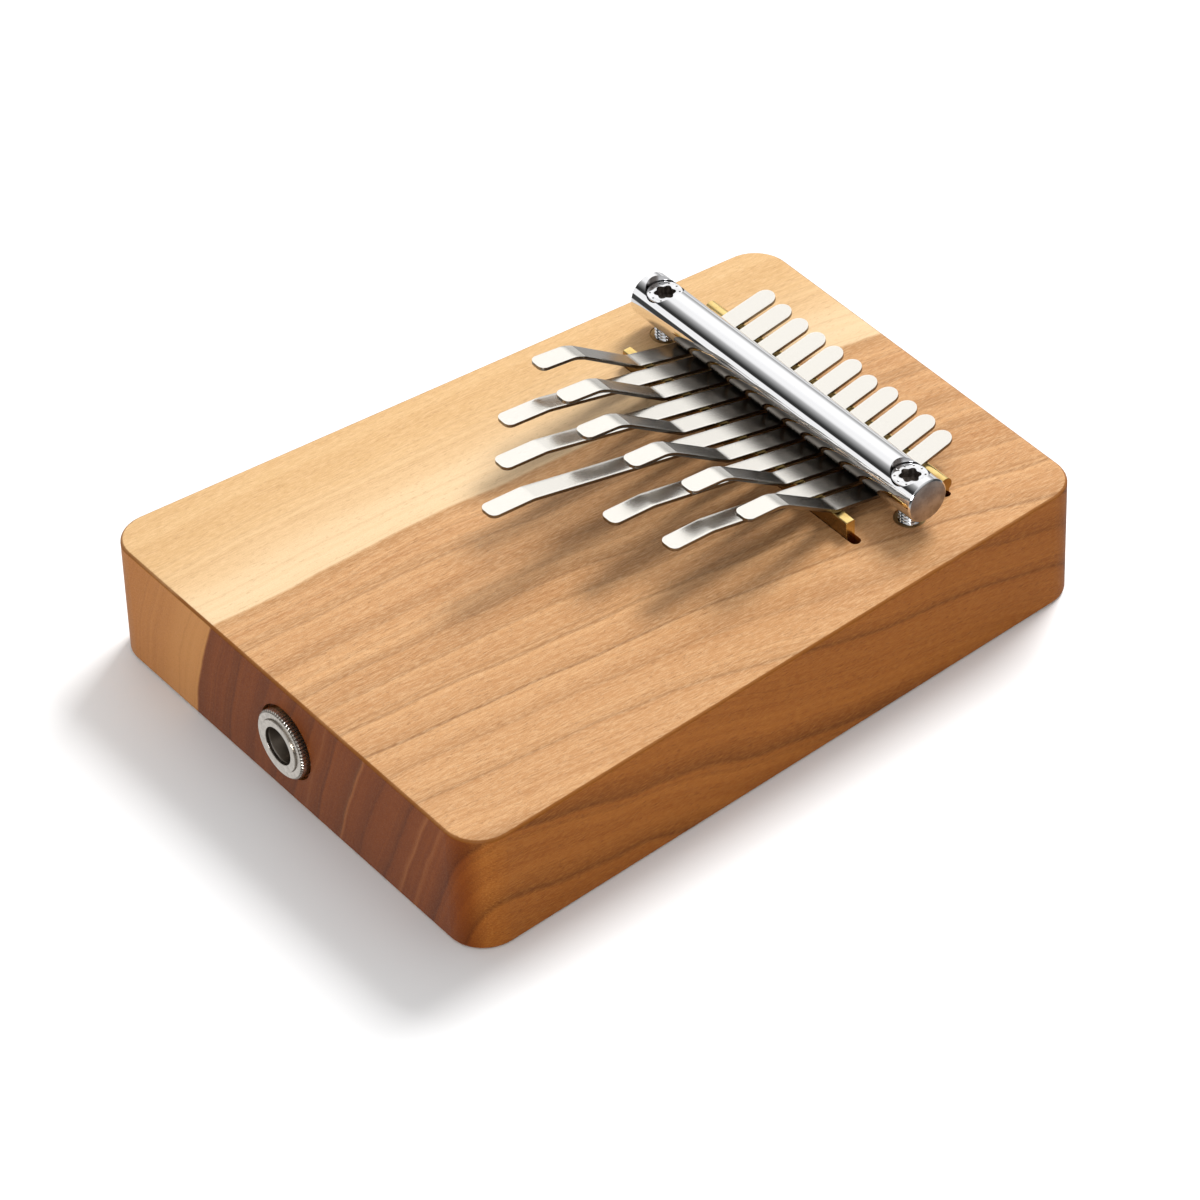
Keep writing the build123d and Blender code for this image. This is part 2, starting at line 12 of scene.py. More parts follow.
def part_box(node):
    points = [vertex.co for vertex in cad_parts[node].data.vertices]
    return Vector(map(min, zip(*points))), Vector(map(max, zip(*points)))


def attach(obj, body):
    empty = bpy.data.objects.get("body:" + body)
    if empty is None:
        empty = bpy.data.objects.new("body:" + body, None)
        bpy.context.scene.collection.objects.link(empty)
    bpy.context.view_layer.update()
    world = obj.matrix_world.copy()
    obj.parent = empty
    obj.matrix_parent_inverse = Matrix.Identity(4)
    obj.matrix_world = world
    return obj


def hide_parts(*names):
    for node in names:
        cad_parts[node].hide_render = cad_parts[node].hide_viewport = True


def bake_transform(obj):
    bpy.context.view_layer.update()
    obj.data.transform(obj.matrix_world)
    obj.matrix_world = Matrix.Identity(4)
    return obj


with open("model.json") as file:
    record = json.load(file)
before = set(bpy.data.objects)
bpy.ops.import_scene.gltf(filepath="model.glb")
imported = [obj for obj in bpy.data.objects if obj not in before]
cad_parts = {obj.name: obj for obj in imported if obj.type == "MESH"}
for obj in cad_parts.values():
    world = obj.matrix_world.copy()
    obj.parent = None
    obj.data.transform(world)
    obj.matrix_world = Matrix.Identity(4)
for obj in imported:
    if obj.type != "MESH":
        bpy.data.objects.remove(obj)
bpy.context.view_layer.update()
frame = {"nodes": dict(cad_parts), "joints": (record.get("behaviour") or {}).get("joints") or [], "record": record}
NODES = frame["nodes"]
HINGES = {joint["child"]: Vector(joint["pos_m"]) for joint in frame["joints"]}
MM = 0.001
# turn of the pressure bar in plan, which brings its left end nearer the player
BAR_TURN = radians(0.5)


# ------------------------------------------------------------------ material toolkit
# the span that nearly all of a noise's values lie in, and a narrower one for more contrast
NOISE_SPAN = (0.3, 0.7)
NOISE_MIDDLE_SPAN = (0.35, 0.65)


class Shader:
    """Builds one material's node tree; an input is a plain value or another node's socket."""

    def __init__(self, name):
        self.material = bpy.data.materials.new(name)
        self.material.use_nodes = True
        self.tree = self.material.node_tree
        self.tree.nodes.clear()
        self.place = self.node("ShaderNodeTexCoord").outputs["Object"]
        self.facing = self.node("ShaderNodeTexCoord").outputs["Normal"]
        self.mm = self.vector("MULTIPLY", self.place, (1 / MM,) * 3)

    def node(self, kind, **settings):
        made = self.tree.nodes.new(kind)
        for name, value in settings.items():
            setattr(made, name, value)
        return made

    def feed(self, socket, value):
        if isinstance(value, bpy.types.NodeSocket):
            self.tree.links.new(value, socket)
        elif value is not None:
            socket.default_value = value

    def math(self, operation, a, b=None, c=None):
        made = self.node("ShaderNodeMath", operation=operation)
        for socket, value in zip(made.inputs, (a, b, c)):
            self.feed(socket, value)
        return made.outputs[0]

    def plus(self, a, b):
        return self.math("ADD", a, b)

    def minus(self, a, b):
        return self.math("SUBTRACT", a, b)

    def times(self, a, b):
        return self.math("MULTIPLY", a, b)

    def times_plus(self, a, b, c):
        return self.math("MULTIPLY_ADD", a, b, c)

    def larger(self, a, b):
        return self.math("MAXIMUM", a, b)

    def size_of(self, value):
        return self.math("ABSOLUTE", value)

    def distance(self, a, b):
        """The distance that a and b give across two square axes."""
        return self.math("SQRT", self.plus(self.math("POWER", a, 2.0), self.math("POWER", b, 2.0)))

    def vector(self, operation, a, b):
        made = self.node("ShaderNodeVectorMath", operation=operation)
        self.feed(made.inputs[0], a)
        self.feed(made.inputs[1], b)
        return made.outputs[0]

    def split(self, vector):
        made = self.node("ShaderNodeSeparateXYZ")
        self.feed(made.inputs[0], vector)
        return made.outputs

    def noise(self, per_mm, detail=2.0, roughness=0.5, distortion=0.0):
        """Noise with so many features per millimetre along each axis."""
        made = self.node("ShaderNodeTexNoise")
        self.feed(made.inputs["Vector"], self.vector("MULTIPLY", self.mm, per_mm))
        self.feed(made.inputs["Scale"], 1.0)
        self.feed(made.inputs["Detail"], detail)
        self.feed(made.inputs["Roughness"], roughness)
        self.feed(made.inputs["Distortion"], distortion)
        return made.outputs[0]

    def noise_along(self, value, per_unit, detail=2.0, roughness=0.5):
        """Noise that depends on one number only, with so many features per unit of it."""
        made = self.node("ShaderNodeTexNoise", noise_dimensions="1D")
        self.feed(made.inputs["W"], self.times(value, per_unit))
        self.feed(made.inputs["Scale"], 1.0)
        self.feed(made.inputs["Detail"], detail)
        self.feed(made.inputs["Roughness"], roughness)
        return made.outputs[0]

    def between(self, value, low, high, out_low=0.0, out_high=1.0, smooth=True):
        """Carries the span from low to high to a new one, and holds the value outside it."""
        made = self.node("ShaderNodeMapRange", interpolation_type="SMOOTHSTEP" if smooth else "LINEAR")
        self.feed(made.inputs["Value"], value)
        self.feed(made.inputs["From Min"], low)
        self.feed(made.inputs["From Max"], high)
        self.feed(made.inputs["To Min"], out_low)
        self.feed(made.inputs["To Max"], out_high)
        return made.outputs[0]

    def spread(self, noise, out_low=0.0, out_high=1.0):
        return self.between(noise, *NOISE_SPAN, out_low, out_high)

    def spread_hard(self, noise, out_low=0.0, out_high=1.0):
        return self.between(noise, *NOISE_MIDDLE_SPAN, out_low, out_high)

    def mix(self, share, a, b, blend="MIX"):
        made = self.node("ShaderNodeMix", data_type="RGBA", blend_type=blend)
        share_socket, a_socket, b_socket = (made.inputs[i] for i in (0, 6, 7))
        self.feed(share_socket, share)
        self.feed(a_socket, a)
        self.feed(b_socket, b)
        return made.outputs[2]

    def ramp(self, value, stops):
        """A curve of straight runs through (place, brightness) stops from 0 to 1."""
        made = self.node("ShaderNodeValToRGB")
        bar = made.color_ramp
        bar.interpolation = "LINEAR"
        while len(bar.elements) < len(stops):
            bar.elements.new(0.5)
        for element, (place, level) in zip(bar.elements, stops):
            element.position = place
            element.color = (level, level, level, 1)
        self.feed(made.inputs[0], value)
        return made.outputs[0]

    def bump(self, height, depth_mm, strength=0.5):
        made = self.node("ShaderNodeBump")
        self.feed(made.inputs["Strength"], strength)
        self.feed(made.inputs["Distance"], depth_mm * MM)
        self.feed(made.inputs["Height"], height)
        return made.outputs[0]

    def surface(self, **sockets):
        """Ends the tree in a Principled shader; names are the sockets' with underscores."""
        made = self.node("ShaderNodeBsdfPrincipled")
        for name, value in sockets.items():
            self.feed(made.inputs[name.replace("_", " ")], value)
        out = self.node("ShaderNodeOutputMaterial")
        self.tree.links.new(made.outputs[0], out.inputs[0])
        return self.material


def rgb(red, green, blue):
    return (red, green, blue, 1.0)


# ------------------------------------------------------------------ wood
# The board is cut from a trunk whose pith runs beside it; millimetres, at the board's middle.
PITH_X = 151.8
PITH_Z = -60.5
PITH_DRIFT_X = -0.097
PITH_DRIFT_Z = -0.333
SAPWOOD_RADIUS = 196.0
SAP_FADE_WIDTH = 24.0
SEAM_WIDTH = 4.5
RING_SPAN = (95.0, 245.0)
# rings by their radius and strength
DARK_RINGS = {
    105.8: 1.0,
    115.6: 1.0,
    131.0: 0.75,
    139.2: 0.6,
    146.5: 0.7,
    154.0: 0.5,
    161.5: 0.7,
    167.5: 0.6,
    175.0: 0.55,
    184.5: 0.5,
}
PALE_END_RINGS = {121.7: 0.8, 126.7: 1.0, 146.0: 1.0, 157.5: 0.6}
# how far a ring's line and its fading side reach inwards and outwards
RING_LINE_REACH = (-0.2, 0.55)
RING_FADE_REACH = (-0.25, 3.4)
PALE_LINE_REACH = (-0.5, 0.9)

# waves of the rings, as features per millimetre along X, Y and Z and a swing in millimetres
RING_WAVES = (((0.03, 0.014, 0.022), 8.0), ((0.2, 0.06, 0.1), 0.9))
# features per millimetre along X, Y and Z, stretched along the grain
WOOD_PATCH = (0.06, 0.02, 0.06)
WOOD_CLOUD = (0.05, 0.018, 0.05)
WOOD_FIBRE = (4.6, 0.5, 4.6)
WOOD_FLECK = (3.0, 0.62, 3.0)
WOOD_GRIT = (8.0, 3.2, 8.0)
# features per millimetre of radius
BROAD_STREAK = 0.16
FINE_STREAK = 1.1
HAIRLINE = 0.35
HAIRLINE_WIDTH = 0.018

HEART_DARK, HEART_PALE = rgb(0.42, 0.195, 0.073), rgb(0.635, 0.35, 0.157)
SAP_INNER_DARK, SAP_INNER_PALE = rgb(0.70, 0.495, 0.28), rgb(0.78, 0.585, 0.36)
SAP_OUTER_DARK, SAP_OUTER_PALE = rgb(0.57, 0.345, 0.15), rgb(0.65, 0.42, 0.20)
SEAM_BROWN = rgb(0.33, 0.18, 0.065)
RING_FADE_BROWN = rgb(0.26, 0.115, 0.038)
RING_LINE_BROWN = rgb(0.12, 0.05, 0.018)
HAIRLINE_BROWN = rgb(0.25, 0.12, 0.045)
FLECK_BROWN = rgb(0.26, 0.12, 0.045)
FIBRE_GOLD = rgb(0.88, 0.60, 0.34)
GRIT_BROWN = rgb(0.30, 0.15, 0.06)
# the end grain's own darker colour together with painted shade, and the long sides' painted shade
END_GRAIN_SHADE_HEART, END_GRAIN_SHADE_SAP = rgb(0.335, 0.14, 0.026), rgb(0.69, 0.42, 0.20)
SIDE_SHADE_HEART, SIDE_SHADE_SAP = rgb(0.57, 0.34, 0.115), rgb(0.80, 0.62, 0.42)
PALE_LINE_TAN = rgb(0.40, 0.15, 0.045)
# painted shade along the rounded top edges
RIM_SHADE_BROWN = rgb(0.22, 0.07, 0.008)


def ring_curve(s, radius, rings, reach):
    """Peaks at the rings' radii that fall to nothing at reach, in millimetres inwards and outwards."""
    low, high = RING_SPAN
    inner, outer = reach
    stops = []
    for ring, level in rings.items():
        for offset, share in ((inner, 0.0), (0.0, level), (outer, 0.0)):
            stops.append(((ring + offset - low) / (high - low), share))
    return s.ramp(s.between(radius, low, high, smooth=False), stops)


def thin_lines(s, radius):
    """Fine irregular growth lines, where a noise along the radius passes its middle."""
    wave = s.noise_along(radius, HAIRLINE, detail=1.0)
    return s.between(s.size_of(s.minus(wave, 0.5)), HAIRLINE_WIDTH, 0.0)


def trunk_radius(s):
    """Millimetres from the trunk's pith, waved."""
    x, y, z = s.split(s.mm)[:3]
    across = s.minus(s.times_plus(y, PITH_DRIFT_X, PITH_X), x)
    up = s.minus(z, s.times_plus(y, PITH_DRIFT_Z, PITH_Z))
    radius = s.distance(across, up)
    for per_mm, swing in RING_WAVES:
        radius = s.plus(radius, s.times(s.minus(s.noise(per_mm), 0.5), swing))
    return radius


def wood_tone(s, radius):
    """0 for dark to 1 for pale, in broad and fine streaks along the rings and in soft clouds."""
    tone = s.times(s.spread(s.noise_along(radius, BROAD_STREAK, detail=3.0, roughness=0.55)), 0.45)
    tone = s.times_plus(s.spread(s.noise_along(radius, FINE_STREAK, detail=3.0, roughness=0.65)), 0.3, tone)
    return s.times_plus(s.spread(s.noise(WOOD_CLOUD, detail=3.0)), 0.25, tone)


def heart_and_sap(s, radius, is_sap):
    """Heartwood and sapwood, which pales towards the dark seam between them."""
    tone = wood_tone(s, radius)
    pale = s.between(radius, SAPWOOD_RADIUS + SAP_FADE_WIDTH, SAPWOOD_RADIUS + 1.0)
    sap_dark = s.mix(pale, SAP_OUTER_DARK, SAP_INNER_DARK)
    sap_pale = s.mix(pale, SAP_OUTER_PALE, SAP_INNER_PALE)
    seam = s.between(radius, SAPWOOD_RADIUS - SEAM_WIDTH, SAPWOOD_RADIUS - 0.2)
    seam = s.times(seam, s.minus(1.0, is_sap))
    colour = s.mix(is_sap, s.mix(tone, HEART_DARK, HEART_PALE), s.mix(tone, sap_dark, sap_pale))
    return s.mix(s.times(seam, 0.32), colour, SEAM_BROWN)


def with_rings(s, colour, radius, patches, flatness):
    """Adds the dark rings, each a thin line with a fading outer side, stronger on the board's sides."""
    fade = ring_curve(s, radius, DARK_RINGS, RING_FADE_REACH)
    fade = s.times(fade, s.between(flatness, 0.25, 0.95, 0.8, 0.5))
    line = ring_curve(s, radius, DARK_RINGS, RING_LINE_REACH)
    line = s.times(line, s.between(patches, 0.35, 0.6, 0.65, 1.0))
    line = s.times(line, s.between(flatness, 0.25, 0.95, 1.0, 0.8))
    return s.mix(line, s.mix(fade, colour, RING_FADE_BROWN), RING_LINE_BROWN)


def with_side_shade(s, colour, is_sap, flatness, endwise):
    """Darkens the long sides a little with painted shade, and the end grain a lot, partly for its own darker
    colour and partly with painted shade.
    """
    end_grain_shade = s.mix(is_sap, END_GRAIN_SHADE_HEART, END_GRAIN_SHADE_SAP)
    long_side_shade = s.mix(is_sap, SIDE_SHADE_HEART, SIDE_SHADE_SAP)
    tinted = s.mix(1.0, colour, s.mix(endwise, long_side_shade, end_grain_shade), blend="MULTIPLY")
    return s.mix(s.between(flatness, 0.95, 0.25), colour, tinted)


def board_wood():
    """Oiled hardwood with its rings, streaks and fibres where the trunk has them, on every face."""
    s = Shader("board_wood")
    ny, nz = s.split(s.facing)[1:3]
    flatness = s.size_of(nz)
    endwise = s.between(s.size_of(ny), 0.45, 0.95)
    radius = trunk_radius(s)
    is_sap = s.between(radius, SAPWOOD_RADIUS - 0.5, SAPWOOD_RADIUS + 0.5)
    less_on_sap = s.times_plus(is_sap, -0.55, 1.0)
    patches = s.noise(WOOD_PATCH)
    fibre = s.noise(WOOD_FIBRE, detail=3.0, roughness=0.6)
    fleck = s.between(s.noise(WOOD_FLECK, roughness=0.55), 0.57, 0.7)
    grit = s.between(s.noise(WOOD_GRIT), 0.33, 0.62, 0.33, 0.0)

    colour = with_rings(s, heart_and_sap(s, radius, is_sap), radius, patches, flatness)
    colour = s.mix(s.times(thin_lines(s, radius), s.times(less_on_sap, 0.3)), colour, HAIRLINE_BROWN)
    colour = s.mix(s.times(fleck, s.times(less_on_sap, 0.5)), colour, FLECK_BROWN)
    colour = s.mix(s.between(fibre, 0.4, 0.7, 0.0, 0.34), colour, FIBRE_GOLD)
    colour = s.mix(s.times(grit, less_on_sap), colour, GRIT_BROWN)
    colour = with_side_shade(s, colour, is_sap, flatness, endwise)
    pale_line = s.times(ring_curve(s, radius, PALE_END_RINGS, PALE_LINE_REACH), endwise)
    colour = s.mix(s.times(pale_line, 0.4), colour, PALE_LINE_TAN)
    # painted shade along the rounded top edges
    rim_shade = s.times(s.between(flatness, 0.99, 0.88), s.between(flatness, 0.12, 0.4))
    colour = s.mix(s.times(rim_shade, s.spread(patches, 0.7, 0.95)), colour, RIM_SHADE_BROWN)

    relief = s.times_plus(fleck, -0.8, s.times(fibre, 0.6))
    return s.surface(
        Base_Color=colour,
        Roughness=s.spread(fibre, 0.5, 0.4),
        Normal=s.bump(relief, 0.03, 0.6),
        Specular_IOR_Level=s.between(flatness, 0.3, 0.95, 0.1, 0.22),
    )


def cover_plywood():
    """Sliced veneer with open pores."""
    s = Shader("cover_plywood")
    wave = s.noise((0.05, 0.012, 0.05), detail=3.0, distortion=0.6)
    rings = s.noise_along(wave, 26.0, detail=3.0, roughness=0.6)
    pores = s.between(s.noise((3.0, 0.16, 3.0)), 0.58, 0.7)
    fibre = s.noise((4.0, 0.25, 4.0), detail=3.0)
    colour = s.mix(s.spread(rings), rgb(0.46, 0.27, 0.12), rgb(0.66, 0.45, 0.24))
    colour = s.mix(s.times(pores, 0.45), colour, rgb(0.2, 0.1, 0.04))
    colour = s.mix(s.spread(fibre, 0.0, 0.2), colour, rgb(0.8, 0.6, 0.36))
    return s.surface(Base_Color=colour, Roughness=0.55, Normal=s.bump(s.minus(fibre, pores), 0.04, 0.7))


# ------------------------------------------------------------------ metals
# the colour of the tines' painted shade and dark reflections, then the steel's two bright tones
STEEL_DARK = rgb(0.10, 0.083, 0.066)
STEEL_BRIGHT = (rgb(0.83, 0.795, 0.73), rgb(0.90, 0.87, 0.81))
# the steel's painted reflection of the bar's dark underside along Y, in millimetres: from nothing to full at
# either end
BAR_REFLECTION_START = (30.5, 38.8)
BAR_REFLECTION_END = (56.0, 50.0)
CHROME = rgb(0.86, 0.86, 0.87)
BARE_END_DARK, BARE_END_PALE = rgb(0.30, 0.265, 0.25), rgb(0.45, 0.41, 0.39)
# the screws' chrome and the painted shade in their sockets
SCREW_CHROME, SOCKET_SHADE = rgb(0.84, 0.84, 0.85), rgb(0.2, 0.165, 0.14)
# the jack's nickel and the painted shade in its bore
NICKEL, BORE_SHADE_BROWN = rgb(0.60, 0.555, 0.50), rgb(0.15, 0.125, 0.10)
BRASS_BRIGHT, BRASS_AGED = rgb(0.93, 0.69, 0.27), rgb(0.72, 0.47, 0.14)
# brass darkened as painted shade, bright and aged
SHADED_BRASS_BRIGHT, SHADED_BRASS_AGED = rgb(0.26, 0.155, 0.045), rgb(0.17, 0.095, 0.03)
# where a bar screw carries painted shade in its socket and dimples: millimetres from its axis, and below its top
# from none to full and back to none
SHADE_R = 3.6
SHADE_DEPTHS = (0.03, 0.12, 2.4, 2.6)
# where the jack carries painted shade inside its bore: millimetres from its axis and behind its mouth, from none
# to full
BORE_SHADE_R = (4.45, 4.3)
BORE_SHADE_FROM = (0.5, 0.9)
# where the knurl's grooves carry painted shade: millimetres below the nut's radius, from none to full and back to
# none
GROOVE_SHADE_DEPTHS = (0.3, 0.48, 1.0, 1.2)


def metal(s, colour, roughness, height, depth_mm, strength=0.5):
    normal = s.bump(height, depth_mm, strength)
    return s.surface(Base_Color=colour, Metallic=1.0, Roughness=roughness, Normal=normal)


def brushed(name, colour, roughness, lines, scratch_depth):
    """Metal with fine brushing; lines is the features per millimetre along each axis."""
    s = Shader(name)
    scratch = s.noise(lines, detail=3.0, roughness=0.7)
    soft = s.noise((0.22, 0.12, 0.22), detail=3.0, roughness=0.6)
    rough = s.plus(s.spread(soft, roughness, roughness + 0.06), s.spread(scratch, 0.0, 0.05))
    dark = tuple(0.8 * c for c in colour)
    return metal(s, s.mix(s.spread_hard(scratch), rgb(*dark), rgb(*colour)), rough, scratch, scratch_depth)


def tine_steel():
    """Spring steel rubbed lengthwise, with a painted reflection of the bar near it, painted dark reflection on the
    steep ramps and painted shade on its edges and underside.
    """
    s = Shader("tine_steel")
    y = s.split(s.mm)[1]
    ny, nz = s.split(s.facing)[1:3]
    lines = s.noise((16.0, 0.14, 16.0), roughness=0.6)
    soft = s.noise((0.12, 0.05, 0.12))
    # painted reflection near the bar, painted dark reflection on the steep ramps, painted shade on the edges and
    # underside
    near_bar = s.times(s.between(y, *BAR_REFLECTION_START), s.between(y, *BAR_REFLECTION_END))
    ramp = s.times(s.between(ny, 0.4, 0.52), 0.75)
    edge = s.times(s.between(nz, 0.6, 0.3), 0.95)
    dark = s.larger(s.larger(near_bar, ramp), edge)
    dark = s.times(dark, s.between(soft, 0.2, 0.8, 0.8, 1.0))
    colour = s.mix(dark, s.mix(s.spread(lines), *STEEL_BRIGHT), STEEL_DARK)
    rough = s.plus(s.spread(soft, 0.2, 0.24), s.spread(lines, 0.0, 0.04))
    return metal(s, colour, rough, lines, 0.0008)


def bar_chrome():
    """Polished chrome with bare, turned ends."""
    s = Shader("bar_chrome")
    on_end = s.between(s.size_of(s.split(s.facing)[0]), 0.92, 0.99)
    haze = s.noise((0.15, 0.15, 0.15), detail=3.0)
    polish = s.noise((0.5, 9.0, 9.0), roughness=0.7)
    turned = s.noise((0.4, 5.0, 5.0), detail=3.0)
    mottle = s.noise((0.3, 0.3, 0.3), detail=4.0, roughness=0.65)
    rough = s.plus(s.spread(haze, 0.025, 0.05), s.times(on_end, 0.38))
    colour = s.mix(on_end, CHROME, s.mix(s.spread_hard(mottle), BARE_END_DARK, BARE_END_PALE))
    height = s.times_plus(on_end, s.times(turned, 2.0), polish)
    return metal(s, colour, rough, height, 0.0015, 0.3)


def plated(s, colour, roughness):
    """Bright plating with a faint haze and pinprick unevenness."""
    haze = s.noise((0.8, 0.8, 0.8), detail=3.0, roughness=0.6)
    grain = s.noise((12.0, 12.0, 12.0))
    rough = s.plus(s.spread(haze, 0.0, 0.07), roughness)
    tint = s.mix(s.between(haze, 0.35, 0.7, 0.0, 0.16), colour, rgb(0, 0, 0))
    return metal(s, tint, rough, grain, 0.0012, 0.4)


def screw_chrome():
    """Chrome with painted shade, and more roughness, in the socket and the dimples."""
    s = Shader("screw_chrome")
    low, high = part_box("bar_screw_right")
    right = (low + high) / 2 / MM
    middle = (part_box("bar_screw_left")[0] + high) / 2 / MM
    top = high.z / MM
    x, y, z = s.split(s.mm)[:3]
    from_middle = s.minus(x, middle.x)
    from_axis_x = s.minus(s.size_of(from_middle), right.x - middle.x)
    from_axis_y = s.minus(y, s.times_plus(from_middle, tan(BAR_TURN), middle.y))
    from_axis = s.distance(from_axis_x, from_axis_y)
    start, full, thinning, end = (top - depth for depth in SHADE_DEPTHS)
    inside = s.times(s.between(from_axis, SHADE_R + 0.05, SHADE_R), s.between(z, start, full))
    inside = s.times(inside, s.between(z, end, thinning))
    shade_mottle = s.noise((1.6, 1.6, 1.6), detail=3.0)
    # painted shade in the socket and dimples, mottled
    recess_shade = s.times(inside, s.spread(shade_mottle, 0.8, 1.0))
    return plated(s, s.mix(recess_shade, SCREW_CHROME, SOCKET_SHADE), s.times_plus(recess_shade, 0.3, 0.08))


def jack_nickel():
    """Nickel, with painted shade inside the bore and in the knurl's grooves."""
    s = Shader("jack_nickel")
    low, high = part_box("jack_barrel")
    x, y, z = s.split(s.mm)[:3]
    from_axis = s.distance(x, s.minus(z, (low.z + high.z) / 2 / MM))
    start, full = (low.y / MM + depth for depth in BORE_SHADE_FROM)
    inside = s.times(s.between(from_axis, *BORE_SHADE_R), s.between(y, start, full))
    nut_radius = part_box("jack_nut")[1].x / MM
    outer, inner, thinning, end = (nut_radius - depth for depth in GROOVE_SHADE_DEPTHS)
    groove = s.times(s.between(from_axis, outer, inner), s.between(from_axis, end, thinning))
    groove = s.times(groove, s.between(s.size_of(s.split(s.facing)[1]), 0.75, 0.5))
    # painted shade in the bore and the knurl's grooves
    dark = s.larger(inside, groove)
    return plated(s, s.mix(dark, NICKEL, BORE_SHADE_BROWN), s.times_plus(dark, 0.15, 0.2))


def brass(s, bright, aged, roughness, lines):
    """Brass with patches of patina and bright scratches."""
    scratch = s.noise(lines, detail=3.0, roughness=0.7)
    patina = s.noise((0.3, 0.3, 0.3), detail=4.0, roughness=0.6)
    colour = s.mix(s.between(patina, 0.4, 0.75, 0.0, 0.8), bright, aged)
    scratched = s.mix(0.3, colour, rgb(1.0, 0.93, 0.7))
    colour = s.mix(s.between(scratch, 0.4, 0.7, 0.0, 0.3), colour, scratched)
    return metal(s, colour, s.spread(patina, roughness, roughness + 0.12), scratch, 0.003)


def bridge_brass():
    """Brass, bright on top, with painted shade on the face towards the player and on the rear rail's ends."""
    s = Shader("bridge_brass")
    nx, ny = s.split(s.facing)[:2]
    y = s.split(s.mm)[1]
    front = s.between(ny, -0.5, -0.9)
    rail_end = s.times(s.between(s.size_of(nx), 0.7, 0.95), s.between(y, 45.0, 50.0))
    # painted shade on the front face and the rear rail's ends
    face_shade = s.times(s.larger(front, rail_end), 0.85)
    bright = s.mix(face_shade, BRASS_BRIGHT, SHADED_BRASS_BRIGHT)
    aged = s.mix(face_shade, BRASS_AGED, SHADED_BRASS_AGED)
    return brass(s, bright, aged, 0.17, (0.4, 7.0, 7.0))


def small_brass():
    return brass(Shader("small_brass"), rgb(0.34, 0.23, 0.1), rgb(0.2, 0.12, 0.05), 0.4, (6.0, 6.0, 1.5))


def washer_steel():
    return brushed("washer_steel", (0.62, 0.62, 0.63), 0.34, (5.0, 5.0, 5.0), 0.004)


def contact_bronze():
    return brushed("contact_bronze", (0.80, 0.66, 0.42), 0.2, (8.0, 0.5, 8.0), 0.002)


# ------------------------------------------------------------------ plastics and ceramic
def moulded(name, low, high, roughness, grain_mm, depth_mm):
    """A fine-grained surface that is mottled between two colours."""
    s = Shader(name)
    mottle = s.noise((0.6, 0.6, 0.6), detail=3.0)
    grain = s.noise((1 / grain_mm,) * 3)
    colour = s.mix(s.spread_hard(mottle), rgb(*low), rgb(*high))
    rough = s.spread(mottle, roughness, roughness + 0.08)
    return s.surface(Base_Color=colour, Roughness=rough, Normal=s.bump(grain, depth_mm))


def black_plastic():
    return moulded("black_plastic", (0.012, 0.012, 0.013), (0.022, 0.022, 0.024), 0.45, 0.3, 0.01)


def piezo_ceramic():
    return moulded("piezo_ceramic", (0.60, 0.58, 0.53), (0.74, 0.72, 0.66), 0.5, 0.4, 0.006)


def red_wire():
    return moulded("red_wire", (0.32, 0.012, 0.012), (0.46, 0.02, 0.018), 0.3, 0.5, 0.006)


def black_wire():
    return moulded("black_wire", (0.010, 0.010, 0.011), (0.02, 0.02, 0.022), 0.3, 0.5, 0.006)


MATERIALS = {
    make.__name__: make()
    for make in (
        board_wood,
        cover_plywood,
        tine_steel,
        bar_chrome,
        screw_chrome,
        jack_nickel,
        bridge_brass,
        small_brass,
        washer_steel,
        contact_bronze,
        black_plastic,
        piezo_ceramic,
        red_wire,
        black_wire,
    )
}


def dress_cad_nodes():
    """Every carried CAD node takes the material that the record names for it."""
    for row in frame["record"]["subparts"]:
        node = NODES[row["node"]]
        node.data.materials.clear()
        node.data.materials.append(MATERIALS[row["material_slot"]])


# ------------------------------------------------------------------ mesh toolkit
AXES = {"x": (0, 1, 2), "y": (1, 2, 0), "z": (2, 0, 1)}
MERGE_DISTANCE = 1e-7
# degrees between faces up to which a piece with rounded edges shades smooth
ROUNDED_SMOOTH = 60.0


def mesh_object(name, points, faces):
    mesh = bpy.data.meshes.new(name)
    mesh.from_pydata([tuple(p) for p in points], [], faces)
    made = bpy.data.objects.new(name, mesh)
    bpy.context.scene.collection.objects.link(made)
    return made


def tidy_mesh(piece, smooth_angle=35.0):
    """Merges doubles, turns normals outwards and shades smooth up to an angle."""
    shape = bmesh.new()
    shape.from_mesh(piece.data)
    bmesh.ops.remove_doubles(shape, verts=shape.verts, dist=MERGE_DISTANCE)
    bmesh.ops.recalc_face_normals(shape, faces=shape.faces)
    for face in shape.faces:
        face.smooth = True
    for edge in shape.edges:
        edge.smooth = edge.is_manifold and edge.calc_face_angle(0.0) < radians(smooth_angle)
    shape.to_mesh(piece.data)
    shape.free()


def apply_modifiers(piece):
    depsgraph = bpy.context.evaluated_depsgraph_get()
    final = bpy.data.meshes.new_from_object(piece.evaluated_get(depsgraph))
    piece.modifiers.clear()
    piece.data = final


def settle_normals(piece):
    """Keeps large flat faces flat where small rounds run into them."""
    piece.modifiers.new("weighted", "WEIGHTED_NORMAL").keep_sharp = True
    apply_modifiers(piece)


def soften(piece, width_mm, segments=2, angle=40.0):
    """Rounds every edge sharper than an angle."""
    bevel = piece.modifiers.new("bevel", "BEVEL")
    bevel.width = width_mm * MM
    bevel.segments = segments
    bevel.limit_method = "ANGLE"
    bevel.angle_limit = radians(angle)
    bevel.miter_outer = "MITER_ARC"
    apply_modifiers(piece)


